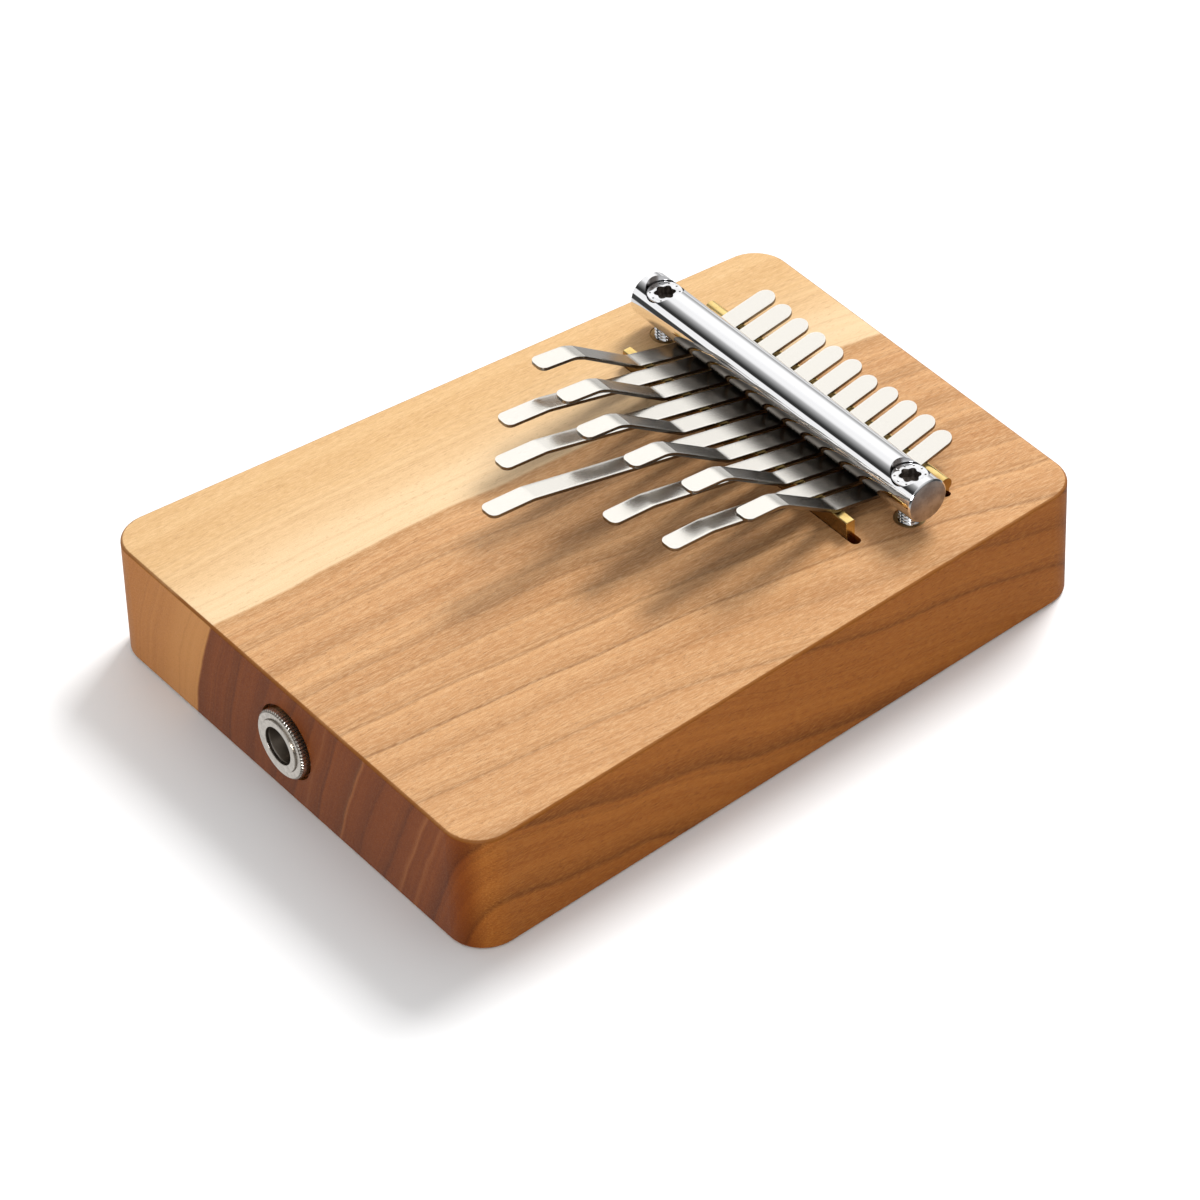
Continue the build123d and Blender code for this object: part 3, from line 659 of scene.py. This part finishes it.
def cut(piece, cutters):
    """Takes each cutter's volume out of the piece and removes the cutter."""
    for cutter in cutters:
        carve = piece.modifiers.new("cut", "BOOLEAN")
        carve.operation = "DIFFERENCE"
        carve.solver = "EXACT"
        carve.object = cutter
        apply_modifiers(piece)
        bpy.data.objects.remove(cutter)


def on_axis(axis, origin, along, first, second):
    """A point at a distance along an axis through origin, and two distances across it."""
    place = list(origin)
    for index, distance in zip(AXES[axis], (along, first, second)):
        place[index] += distance
    return place


def revolve(name, profile, axis, origin, segments, ring=False, wobble=None):
    """Turns (along, radius) points round an axis; ring joins the profile's ends."""
    points = []
    for along, radius in profile:
        for step in range(segments):
            turn = 2 * pi * step / segments
            out = wobble(turn, along, radius) if wobble else radius
            points.append(on_axis(axis, origin, along, out * cos(turn), out * sin(turn)))
    rows = len(profile)
    faces = []
    for row in range(rows if ring else rows - 1):
        low, high = row * segments, (row + 1) % rows * segments
        for step in range(segments):
            after = (step + 1) % segments
            faces.append((low + step, low + after, high + after, high + step))
    piece = mesh_object(name, points, faces)
    tidy_mesh(piece)
    return piece


def extrude(name, section, axis, origin, low, high):
    """A closed section of points across an axis, run from low to high along it."""
    count = len(section)
    points = [on_axis(axis, origin, along, *point) for along in (low, high) for point in section]
    faces = [(i, (i + 1) % count, count + (i + 1) % count, count + i) for i in range(count)]
    faces += [tuple(range(count)), tuple(range(count, 2 * count))]
    piece = mesh_object(name, points, faces)
    tidy_mesh(piece)
    return piece


def rounded_line(points, radii, turn_step=radians(2.0)):
    """Points along straight runs joined by tangent arcs, in one plane."""
    line = [Vector(points[0])]
    for before, corner, after, radius in zip(points, points[1:], points[2:], radii):
        into = (Vector(corner) - Vector(before)).normalized()
        out = (Vector(after) - Vector(corner)).normalized()
        turn = into.angle_signed(out)
        reach = radius * tan(abs(turn) / 2)
        start = Vector(corner) - into * reach
        steps = max(2, ceil(abs(turn) / turn_step))
        for step in range(steps + 1):
            part = turn * step / steps
            heading = Matrix.Rotation(-part / 2, 2) @ into
            line.append(start + heading * (2 * radius * sin(abs(part) / 2)))
    line.append(Vector(points[-1]))
    return line


def eased(points, radius, steps=3):
    """The line through points, with every inner corner rounded."""
    return rounded_line(points, [radius] * (len(points) - 2), radians(90 / steps))


def finish_piece(piece, slot, body, nodes):
    """Gives the piece its material and body and hides the nodes it replaces; a piece given no body stays
    unattached.
    """
    piece.data.materials.clear()
    piece.data.materials.append(MATERIALS[slot])
    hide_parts(*nodes)
    if body:
        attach(piece, body)
    return piece


# ------------------------------------------------------------------ tines
# angles rise towards the player; a pad is the nearly flat end that the thumb plays
TINE_COUNT = 11
TINE_WIDTH = 4.86 * MM
TINE_THICKNESS = 0.8 * MM
TINE_FAN_DEG = 0.467
MIDDLE_TINE = 6
FRONT_RISE_DEG = 12.0
REAR_RISE_DEG = 11.7
BAR_BEND_R = 12.0 * MM
LOW_PAD = 10.8 * MM
LOW_PAD_RISE_DEG = 3.0
LOW_BEND_R = 8.0 * MM
RAMP_RISE_DEG = 33.6
RAMP_RUN = 14.0 * MM
SHOULDER_RISE_DEG = 25.0
SHOULDER_RUN = 2.6 * MM * cos(radians(SHOULDER_RISE_DEG))
RAISED_PAD = 8.85 * MM
RAISED_PAD_RISE_DEG = 5.0
RAMP_FOOT_R = 4.0 * MM
CREASE_R = 1.2 * MM
SHOULDER_R = 6.0 * MM
FRONT_CORNER_R = 1.7 * MM
EDGE_ROUND_MM = 0.2
EDGE_ROUND_SEGMENTS = 3
# how far the centre line runs on past both tips
TIP_OVERRUN = 1.0 * MM
STATION_STEP = 0.5 * MM
CLOSEST_STATIONS = 0.008 * MM
TIP_STEPS = 9
FIRST_TIP_STEP_DEG = 4.0
NARROWEST_HALF = 0.05 * MM
# columns of points across a tine, as shares of its half width
TINE_COLUMNS = (-1.0, -0.7, 0.0, 0.7, 1.0)


def towards_player(start, rise_deg, run):
    """The (y, z) point reached from start by going towards the player at a rise angle."""
    return (start[0] - run, start[1] + run * tan(radians(rise_deg)))


def tine_line(number, pivot, bar_y, front_y, rear_y):
    """The tine's centre line from its rear tip to its front tip."""
    bend = towards_player(pivot, FRONT_RISE_DEG, pivot[0] - bar_y)
    tail = towards_player(bend, -REAR_RISE_DEG, bar_y - rear_y - TIP_OVERRUN)
    if number % 2 == 0:
        pad = towards_player(pivot, FRONT_RISE_DEG, pivot[0] - front_y - LOW_PAD)
        tip = towards_player(pad, LOW_PAD_RISE_DEG, LOW_PAD + TIP_OVERRUN)
        return rounded_line([tail, bend, pad, tip], [BAR_BEND_R, LOW_BEND_R])
    crease_y = front_y + RAISED_PAD + SHOULDER_RUN
    bridge_front_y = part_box("front_bridge")[0].y
    foot = towards_player(pivot, FRONT_RISE_DEG, pivot[0] - min(crease_y + RAMP_RUN, bridge_front_y))
    crease = towards_player(foot, RAMP_RISE_DEG, foot[0] - crease_y)
    shoulder = towards_player(crease, SHOULDER_RISE_DEG, SHOULDER_RUN)
    tip = towards_player(shoulder, RAISED_PAD_RISE_DEG, RAISED_PAD + TIP_OVERRUN)
    corners = [tail, bend, foot, crease, shoulder, tip]
    return rounded_line(corners, [BAR_BEND_R, RAMP_FOOT_R, CREASE_R, SHOULDER_R])


def tip_half_width(distance, corner_r):
    """Half the tine's width at a distance behind a tip with round corners."""
    if distance >= corner_r:
        return TINE_WIDTH / 2
    return TINE_WIDTH / 2 - corner_r + (corner_r**2 - (corner_r - distance) ** 2) ** 0.5


def tine_stations(front, rear, line_y):
    """Places along the tine: even steps, every bend point, and close ones round both tips."""
    count = ceil((rear - front) / STATION_STEP)
    places = [front + (rear - front) * i / count for i in range(count + 1)]
    places += [y for y in line_y if front < y < rear]
    turned = (90 - FIRST_TIP_STEP_DEG) / TIP_STEPS
    quarter = [radians(FIRST_TIP_STEP_DEG + turned * i) for i in range(TIP_STEPS + 1)]
    places += [front + FRONT_CORNER_R * (1 - cos(a)) for a in quarter]
    places += [rear - TINE_WIDTH / 2 * (1 - cos(a)) for a in quarter]
    places.sort()
    kept = [places[0]]
    for place in places[1:]:
        if place - kept[-1] > CLOSEST_STATIONS:
            kept.append(place)
    return kept


def tine_points(hinge, fan, front_y, rear_y, line):
    """Rows of points across the strip's middle surface, from its front tip to its rear tip."""
    line_y, line_z = [p[0] for p in line], [p[1] for p in line]
    front, rear = (front_y - hinge.y) / cos(fan), (rear_y - hinge.y) / cos(fan)
    points = []
    for along in tine_stations(front, rear, [y - hinge.y for y in line_y]):
        front_half = tip_half_width(along - front, FRONT_CORNER_R)
        half = min(front_half, tip_half_width(rear - along, TINE_WIDTH / 2))
        for share in TINE_COLUMNS:
            across = share * max(half, NARROWEST_HALF)
            x = hinge.x + across * cos(fan) - along * sin(fan)
            y = hinge.y + across * sin(fan) + along * cos(fan)
            points.append((x, y, float(np.interp(y, line_y, line_z))))
    return points


def sheet_faces(rows, columns):
    """Faces between neighbouring rows of points."""
    faces = []
    for row in range(rows - 1):
        for column in range(columns - 1):
            a = row * columns + column
            faces.append((a, a + 1, a + 1 + columns, a + columns))
    return faces


def make_tine(number):
    """One unbroken strip from rear tip to pad."""
    body = f"tine_{number:02d}"
    tongue, heel = f"{body}_tongue", f"{body}_heel"
    hinge = HINGES[body]
    bar_low, bar_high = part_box("pressure_bar")
    front_y, rear_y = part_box(tongue)[0].y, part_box(heel)[1].y
    line = tine_line(number, (hinge.y, hinge.z), (bar_low.y + bar_high.y) / 2, front_y, rear_y)
    line.sort(key=lambda point: point[0])
    fan = radians((number - MIDDLE_TINE) * TINE_FAN_DEG)
    points = tine_points(hinge, fan, front_y, rear_y, line)
    columns = len(TINE_COLUMNS)
    piece = mesh_object(f"{body}_strip", points, sheet_faces(len(points) // columns, columns))
    thick = piece.modifiers.new("thickness", "SOLIDIFY")
    thick.thickness = TINE_THICKNESS
    thick.offset = 0.0
    apply_modifiers(piece)
    tidy_mesh(piece)
    soften(piece, EDGE_ROUND_MM, EDGE_ROUND_SEGMENTS, angle=50.0)
    tidy_mesh(piece, ROUNDED_SMOOTH)
    finish_piece(piece, "tine_steel", None, (tongue, heel))
    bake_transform(piece)
    return piece


# ------------------------------------------------------------------ pressure bar and its screws
BAR_HALF_LENGTH = 46.8 * MM
BAR_END_CHAMFER = 0.35 * MM
BAR_EDGE_ROUND = 0.12 * MM
BAR_SEGMENTS = 192
BORE_SEGMENTS = 96
# how near the true radius a face's corners must be to count as the bar's side
SIDE_TOLERANCE = 0.002 * MM
COUNTERBORE_R = 4.25 * MM
SCREW_HOLE_R = 2.75 * MM
SCREW_OFFSET = 41.0 * MM
HEAD_R = 4.0 * MM
HEAD_HEIGHT = 3.0 * MM
HEAD_ROUND = 0.2 * MM
HEAD_ROUND_STEPS = 4
HEAD_SEGMENTS = 128
HEAD_EDGE_ROUND_MM = 0.05
SOCKET_CORE_R = 1.95 * MM
SOCKET_LOBE_R = 0.52 * MM
SOCKET_LOBE_FULLNESS = 0.8
SOCKET_LOBES = 6
STEPS_PER_LOBE = 16
SOCKET_DEPTH = 2.2 * MM
DIMPLES = 10
DIMPLE_PCR = 3.25 * MM
DIMPLE_R = 0.23 * MM
DIMPLE_FLOOR_R = 0.7 * DIMPLE_R
DIMPLE_SEGMENTS = 16
SHANK_R = 2.5 * MM
THREAD_DEPTH = 0.38 * MM
THREAD_PITCH = 0.8 * MM
THREAD_POINT_SHARE = 0.6
PLAIN_SHANK = 1.4 * MM
ROWS_PER_TURN = 8
THREAD_COLUMNS = 48


def round_normals(piece, middle, axis, radius):
    """True radial normals on the bar's side, so that its reflections run unbroken past the bores."""
    mesh = piece.data
    normals = [Vector((0, 0, 0))] * len(mesh.loops)
    for face in mesh.polygons:
        arms = [mesh.vertices[v].co - middle for v in face.vertices]
        spokes = [arm - axis * arm.dot(axis) for arm in arms]
        if all(abs(spoke.length - radius) < SIDE_TOLERANCE for spoke in spokes):
            for loop, spoke in zip(face.loop_indices, spokes):
                normals[loop] = spoke.normalized()
    mesh.normals_split_custom_set([tuple(n) for n in normals])


def make_pressure_bar():
    """A round bar with a counterbored hole near each end, turned in plan about its middle."""
    low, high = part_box("pressure_bar")
    middle, half, radius = (low + high) / 2, BAR_HALF_LENGTH, (high.z - low.z) / 2
    corner = [(0, radius), (half - BAR_END_CHAMFER, radius), (half, radius - BAR_END_CHAMFER), (half, 0)]
    right_end = eased(corner, BAR_EDGE_ROUND)[1:]
    left_end = [(-along, out) for along, out in reversed(right_end)]
    piece = revolve("pressure_bar_round", left_end + list(right_end), "x", middle, BAR_SEGMENTS)
    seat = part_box("bar_screw_left")[1].z - HEAD_HEIGHT
    cutters = []
    for sign in (-1, 1):
        origin = (middle.x + sign * SCREW_OFFSET, middle.y, seat)
        bore = [(-3 * radius, 0), (-3 * radius, SCREW_HOLE_R), (0, SCREW_HOLE_R), (0, COUNTERBORE_R)]
        bore += [(2 * radius, COUNTERBORE_R), (2 * radius, 0)]
        cutters.append(revolve("bore", bore, "z", origin, BORE_SEGMENTS))
    cut(piece, cutters)
    tidy_mesh(piece, 25.0)
    turn = Matrix.Rotation(BAR_TURN, 4, "Z")
    piece.data.transform(Matrix.Translation(middle) @ turn @ Matrix.Translation(-middle))
    round_normals(piece, middle, turn @ Vector((1, 0, 0)), radius)
    return finish_piece(piece, "bar_chrome", "frame", ("pressure_bar",))


def socket_outline():
    """A six-lobe star with soft valleys."""
    outline = []
    steps = STEPS_PER_LOBE * SOCKET_LOBES
    for step in range(steps):
        turn = 2 * pi * step / steps
        lobe = (0.5 + 0.5 * cos(SOCKET_LOBES * turn)) ** SOCKET_LOBE_FULLNESS
        out = SOCKET_CORE_R + SOCKET_LOBE_R * lobe
        outline.append((out * cos(turn), out * sin(turn)))
    return outline


def helical_shank(name, origin, length):
    """A ridge that climbs round the shank; the rows are level rings."""
    rows = ceil(length / THREAD_PITCH * ROWS_PER_TURN)
    start = THREAD_PITCH / 4
    end = start - length
    profile = [(start, 0.0)]
    profile += [(start - length * row / rows, SHANK_R) for row in range(rows + 1)]
    profile += [(end, 0.0)]

    def ridge(turn, along, radius):
        if radius == 0.0:
            return 0.0
        phase = (along / THREAD_PITCH + turn / (2 * pi)) % 1.0
        share = min(1.0, max(0.0, (-PLAIN_SHANK - along) / THREAD_PITCH))
        lead = min(1.0, (along - end) / THREAD_PITCH + THREAD_POINT_SHARE)
        return (radius - share * THREAD_DEPTH * (1 - abs(2 * phase - 1))) * lead

    return revolve(name, profile, "z", origin, THREAD_COLUMNS, wobble=ridge)


def make_bar_screw(side):
    """A cylinder head with a star socket and a ring of dimples, and its threaded shank."""
    node = f"bar_screw_{side}"
    low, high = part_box(node)
    middle = (low + high) / 2
    seat = (middle.x, middle.y, high.z - HEAD_HEIGHT)
    outline = [(0, 0), (0, HEAD_R), (HEAD_HEIGHT, HEAD_R), (HEAD_HEIGHT, 0)]
    head = revolve(f"{node}_head", eased(outline, HEAD_ROUND, HEAD_ROUND_STEPS), "z", seat, HEAD_SEGMENTS)
    cutters = [extrude("socket", socket_outline(), "z", seat, HEAD_HEIGHT - SOCKET_DEPTH, 2 * HEAD_HEIGHT)]
    for step in range(DIMPLES):
        turn = 2 * pi * (step + 0.5) / DIMPLES
        spot = on_axis("z", seat, HEAD_HEIGHT, DIMPLE_PCR * cos(turn), DIMPLE_PCR * sin(turn))
        pin = [(-DIMPLE_R, 0), (-DIMPLE_R, DIMPLE_FLOOR_R), (0, DIMPLE_R)]
        pin += [(DIMPLE_R, DIMPLE_R), (DIMPLE_R, 0)]
        cutters.append(revolve("dimple", pin, "z", spot, DIMPLE_SEGMENTS))
    cut(head, cutters)
    soften(head, HEAD_EDGE_ROUND_MM, angle=50.0)
    tidy_mesh(head, ROUNDED_SMOOTH)
    settle_normals(head)
    shank = helical_shank(f"{node}_shank", seat, high.z - HEAD_HEIGHT - low.z)
    finish_piece(head, "screw_chrome", "frame", (node,))
    return finish_piece(shank, "screw_chrome", "frame", (node,))


# ------------------------------------------------------------------ brass bridges
BRIDGE_CHAMFER = 0.2 * MM
BRIDGE_EDGE_ROUND_MM = 0.1
RAIL_EDGE_ROUND_MM = 0.12
BRIDGE_EDGE_SEGMENTS = 3
BEAD_R = 1.7 * MM
BEAD_STEPS = 48
WEB_THICKNESS = 2.0 * MM


def make_front_bridge():
    """A flat bar on edge with its two upper edges chamfered."""
    low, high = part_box("front_bridge")
    ease = BRIDGE_CHAMFER
    section = [
        (low.y, low.z),
        (high.y, low.z),
        (high.y, high.z - ease),
        (high.y - ease, high.z),
        (low.y + ease, high.z),
        (low.y, high.z - ease),
    ]
    piece = extrude("front_bridge_blade", section, "x", (0, 0, 0), low.x, high.x)
    soften(piece, BRIDGE_EDGE_ROUND_MM, BRIDGE_EDGE_SEGMENTS, angle=30.0)
    tidy_mesh(piece, ROUNDED_SMOOTH)
    settle_normals(piece)
    return finish_piece(piece, "bridge_brass", "frame", ("front_bridge",))


def make_rear_bridge():
    """A round bead on a narrower web."""
    low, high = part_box("rear_bridge")
    bead_y, bead_z = (low.y + high.y) / 2, high.z - BEAD_R
    half = WEB_THICKNESS / 2
    opening = atan2(-((BEAD_R**2 - half**2) ** 0.5), half)
    section = []
    for step in range(BEAD_STEPS + 1):
        turn = opening + (pi - 2 * opening) * step / BEAD_STEPS
        section.append((bead_y + BEAD_R * cos(turn), bead_z + BEAD_R * sin(turn)))
    section += [(bead_y - half, low.z), (bead_y + half, low.z)]
    piece = extrude("rear_bridge_rail", section, "x", (0, 0, 0), low.x, high.x)
    soften(piece, RAIL_EDGE_ROUND_MM, BRIDGE_EDGE_SEGMENTS, angle=35.0)
    tidy_mesh(piece, ROUNDED_SMOOTH)
    settle_normals(piece)
    return finish_piece(piece, "bridge_brass", "frame", ("rear_bridge",))


# ------------------------------------------------------------------ jack
KNURLS = 60
STEPS_PER_KNURL = 8
KNURL_DEPTH = 0.48 * MM
KNURL_SHARPNESS = 1.2
# the knurl's depth lost where it runs out over the chamfer, and how far down it reaches, in chamfers
KNURL_RUN_OUT = 0.8
KNURL_REACH = 1.1
NUT_CHAMFER = 0.45 * MM
JACK_EDGE = 0.12 * MM
BUSH_R = 6.0 * MM
BUSH_FIT = 0.05 * MM
MOUTH_R = 4.4 * MM
MOUTH_LIP = 0.8 * MM
LEAD_IN_DEPTH = 5.0 * MM
PLUG_BORE_R = 3.25 * MM
FLANGE_LENGTH = 2.0 * MM
JACK_BODY_R = 7.0 * MM
BARREL_SEGMENTS = 128


def make_jack_nut():
    """A ring with a straight knurl that runs out over its front chamfer."""
    low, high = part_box("jack_nut")
    middle, outer = (low + high) / 2, (high.x - low.x) / 2
    inner = BUSH_R + BUSH_FIT
    front, back = low.y, high.y
    seam = (back, (inner + outer) / 2)
    corners = [
        seam,
        (back, inner),
        (front, inner),
        (front, outer - NUT_CHAMFER),
        (front + NUT_CHAMFER, outer),
        (back, outer),
        seam,
    ]
    profile = eased(corners, JACK_EDGE)[:-1]
    centre = (middle.x, 0, middle.z)

    def knurled(turn, along, radius):
        chamfers_down = (outer - radius) / NUT_CHAMFER
        if radius <= outer - KNURL_REACH * NUT_CHAMFER:
            return radius
        phase = turn * KNURLS / (2 * pi) % 1.0
        groove = abs(2 * phase - 1) ** KNURL_SHARPNESS
        return radius - max(0.0, 1 - KNURL_RUN_OUT * chamfers_down) * KNURL_DEPTH * groove

    segments = KNURLS * STEPS_PER_KNURL
    piece = revolve("jack_nut_knurled", profile, "y", centre, segments, ring=True, wobble=knurled)
    tidy_mesh(piece, 28.0)
    settle_normals(piece)
    return finish_piece(piece, "jack_nickel", "frame", ("jack_nut",))


def make_jack_barrel():
    """A bush with a lipped mouth and a tapered lead-in, its flange and its body, all turned."""
    low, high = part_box("jack_barrel")
    middle, flange_r = (low + high) / 2, (high.x - low.x) / 2
    flange_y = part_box("jack_washer")[1].y
    seam = (low.y + MOUTH_LIP / 2, MOUTH_R)
    corners = [
        seam,
        (low.y, MOUTH_R),
        (low.y, BUSH_R),
        (flange_y, BUSH_R),
        (flange_y, flange_r),
        (flange_y + FLANGE_LENGTH, flange_r),
        (flange_y + FLANGE_LENGTH, JACK_BODY_R),
        (high.y, JACK_BODY_R),
        (high.y, PLUG_BORE_R),
        (low.y + LEAD_IN_DEPTH, PLUG_BORE_R),
        (low.y + MOUTH_LIP, MOUTH_R),
        seam,
    ]
    profile = eased(corners, JACK_EDGE)[:-1]
    centre = (middle.x, 0, middle.z)
    piece = revolve("jack_barrel_turned", profile, "y", centre, BARREL_SEGMENTS, ring=True)
    settle_normals(piece)
    return finish_piece(piece, "jack_nickel", "frame", ("jack_barrel",))


# ------------------------------------------------------------------ studio
# degrees and metres; the azimuth turns the camera from the player's side to the right
CAMERA_AZIMUTH = 53.53
CAMERA_ELEVATION = 40.5
CAMERA_ROLL = -2.04
CAMERA_DISTANCE = 1.3118
CAMERA_AIM = Vector((0.00146, -0.00428, 0.01022))
CAMERA_LENS_MM = 185.17
CAMERA_SENSOR_MM = 36.0
CAMERA_CLIP = (0.05, 20.0)


def make_camera():
    """A long lens at the photo's angle, rolled a little."""
    data = bpy.data.cameras.new("camera")
    data.lens = CAMERA_LENS_MM
    data.sensor_width = CAMERA_SENSOR_MM
    data.clip_start, data.clip_end = CAMERA_CLIP
    camera = bpy.data.objects.new("camera", data)
    bpy.context.scene.collection.objects.link(camera)
    azimuth, elevation = radians(CAMERA_AZIMUTH), radians(CAMERA_ELEVATION)
    back = Vector((sin(azimuth) * cos(elevation), -cos(azimuth) * cos(elevation), sin(elevation)))
    right = Vector((cos(azimuth), sin(azimuth), 0))
    right = Matrix.Rotation(radians(CAMERA_ROLL), 4, back) @ right
    up = back.cross(right)
    basis = Matrix((right, up, back)).transposed().to_4x4()
    camera.matrix_world = Matrix.Translation(CAMERA_AIM + back * CAMERA_DISTANCE) @ basis
    bpy.context.scene.camera = camera


FLOOR_HALF = 3.0
FLOOR_GAP = 0.0002


def make_floor():
    """A matt pale floor that metal doesn't mirror."""
    corners = [(x * FLOOR_HALF, y * FLOOR_HALF, 0) for x, y in ((-1, -1), (1, -1), (1, 1), (-1, 1))]
    floor = mesh_object("floor", corners, [(0, 1, 2, 3)])
    floor.location.z = -FLOOR_GAP
    s = Shader("pale_floor")
    tone = s.noise((0.004, 0.004, 0.004))
    colour = s.mix(s.spread(tone), rgb(0.86, 0.86, 0.86), rgb(0.88, 0.88, 0.88))
    floor.data.materials.append(s.surface(Base_Color=colour, Roughness=0.9, Specular_IOR_Level=0.1))
    floor.visible_glossy = False


# the left side's brightness by degrees about the X axis, from +Y over the top to -Y and back under
SKY_LEVELS = (
    (0, 0.9),
    (5, 0.4),
    (11, 0.4),
    (20, 0.62),
    (28, 0.97),
    (36, 1.1),
    (64, 1.08),
    (80, 0.96),
    (95, 0.97),
    (101, 0.84),
    (107, 0.52),
    (113, 0.37),
    (119, 0.28),
    (125, 0.17),
    (131, 0.1),
    (137, 0.035),
    (148.5, 0.025),
    (150.5, 0.92),
    (176, 0.95),
    (178.5, 0.05),
    (201, 0.05),
    (205, 0.7),
    (240, 0.8),
    (270, 0.6),
    (350, 0.6),
    (360, 0.9),
)
SKY_STRENGTH = 1.1
# the right side's brightness under the floor, at the horizon and overhead, and where it changes
RIGHT_UNDER, RIGHT_LOW, RIGHT_HIGH = 0.36, 0.06, 0.75
RIGHT_RISE = (0.25, 0.9)
RIGHT_DROP = (-0.1, -0.4)
SIDE_FADE = (-0.3, 0.05)
KEY_DIRECTION = Vector((-0.24, 0.66, 0.78))
KEY_WATTS = 23.0
KEY_SIZE = 0.55
FILL_DIRECTION = Vector((0.72, -0.65, 0.24))
FILL_WATTS = 9.5
FILL_SIZE = 0.45
PANEL_DISTANCE = 1.5


class Sky(Shader):
    """The same node helpers, for the world's tree."""

    def __init__(self, world):
        self.tree = world.node_tree
        self.tree.nodes.clear()


def make_sky():
    """A wide soft panel behind and above, a dark gap and a strip in front, all long in X."""
    world = bpy.data.worlds.new("studio")
    bpy.context.scene.world = world
    world.use_nodes = True
    s = Sky(world)
    x, y, z = s.split(s.node("ShaderNodeTexCoord").outputs["Generated"])[:3]
    turn = s.math("FRACT", s.math("DIVIDE", s.math("ARCTAN2", z, y), 2 * pi))
    left = s.ramp(turn, [(angle / 360, level) for angle, level in SKY_LEVELS])
    over = s.between(z, *RIGHT_RISE, RIGHT_LOW, RIGHT_HIGH)
    right = s.plus(over, s.between(z, *RIGHT_DROP, 0.0, RIGHT_UNDER))
    level = s.mix(s.between(x, *SIDE_FADE), left, right)
    background = s.node("ShaderNodeBackground")
    s.feed(background.inputs["Color"], level)
    background.inputs["Strength"].default_value = SKY_STRENGTH
    out = s.node("ShaderNodeOutputWorld")
    s.tree.links.new(background.outputs[0], out.inputs[0])


def make_panel(name, direction, size, watts, glossy):
    """A square soft light that looks at the origin; metal mirrors it only if it is glossy."""
    data = bpy.data.lights.new(name, "AREA")
    data.shape = "SQUARE"
    data.size = size
    data.energy = watts
    lamp = bpy.data.objects.new(name, data)
    lamp.location = direction.normalized() * PANEL_DISTANCE
    lamp.rotation_euler = direction.to_track_quat("Z", "Y").to_euler()
    lamp.visible_glossy = glossy
    bpy.context.scene.collection.objects.link(lamp)


# ------------------------------------------------------------------ the whole object
dress_cad_nodes()
for tine_number in range(1, TINE_COUNT + 1):
    make_tine(tine_number)
make_pressure_bar()
for screw_side in ("left", "right"):
    make_bar_screw(screw_side)
make_front_bridge()
make_rear_bridge()
make_jack_nut()
make_jack_barrel()
make_camera()
make_floor()
make_sky()
make_panel("key_panel", KEY_DIRECTION, KEY_SIZE, KEY_WATTS, glossy=False)
make_panel("fill_panel", FILL_DIRECTION, FILL_SIZE, FILL_WATTS, glossy=True)
bpy.context.scene.view_settings.view_transform = "Standard"
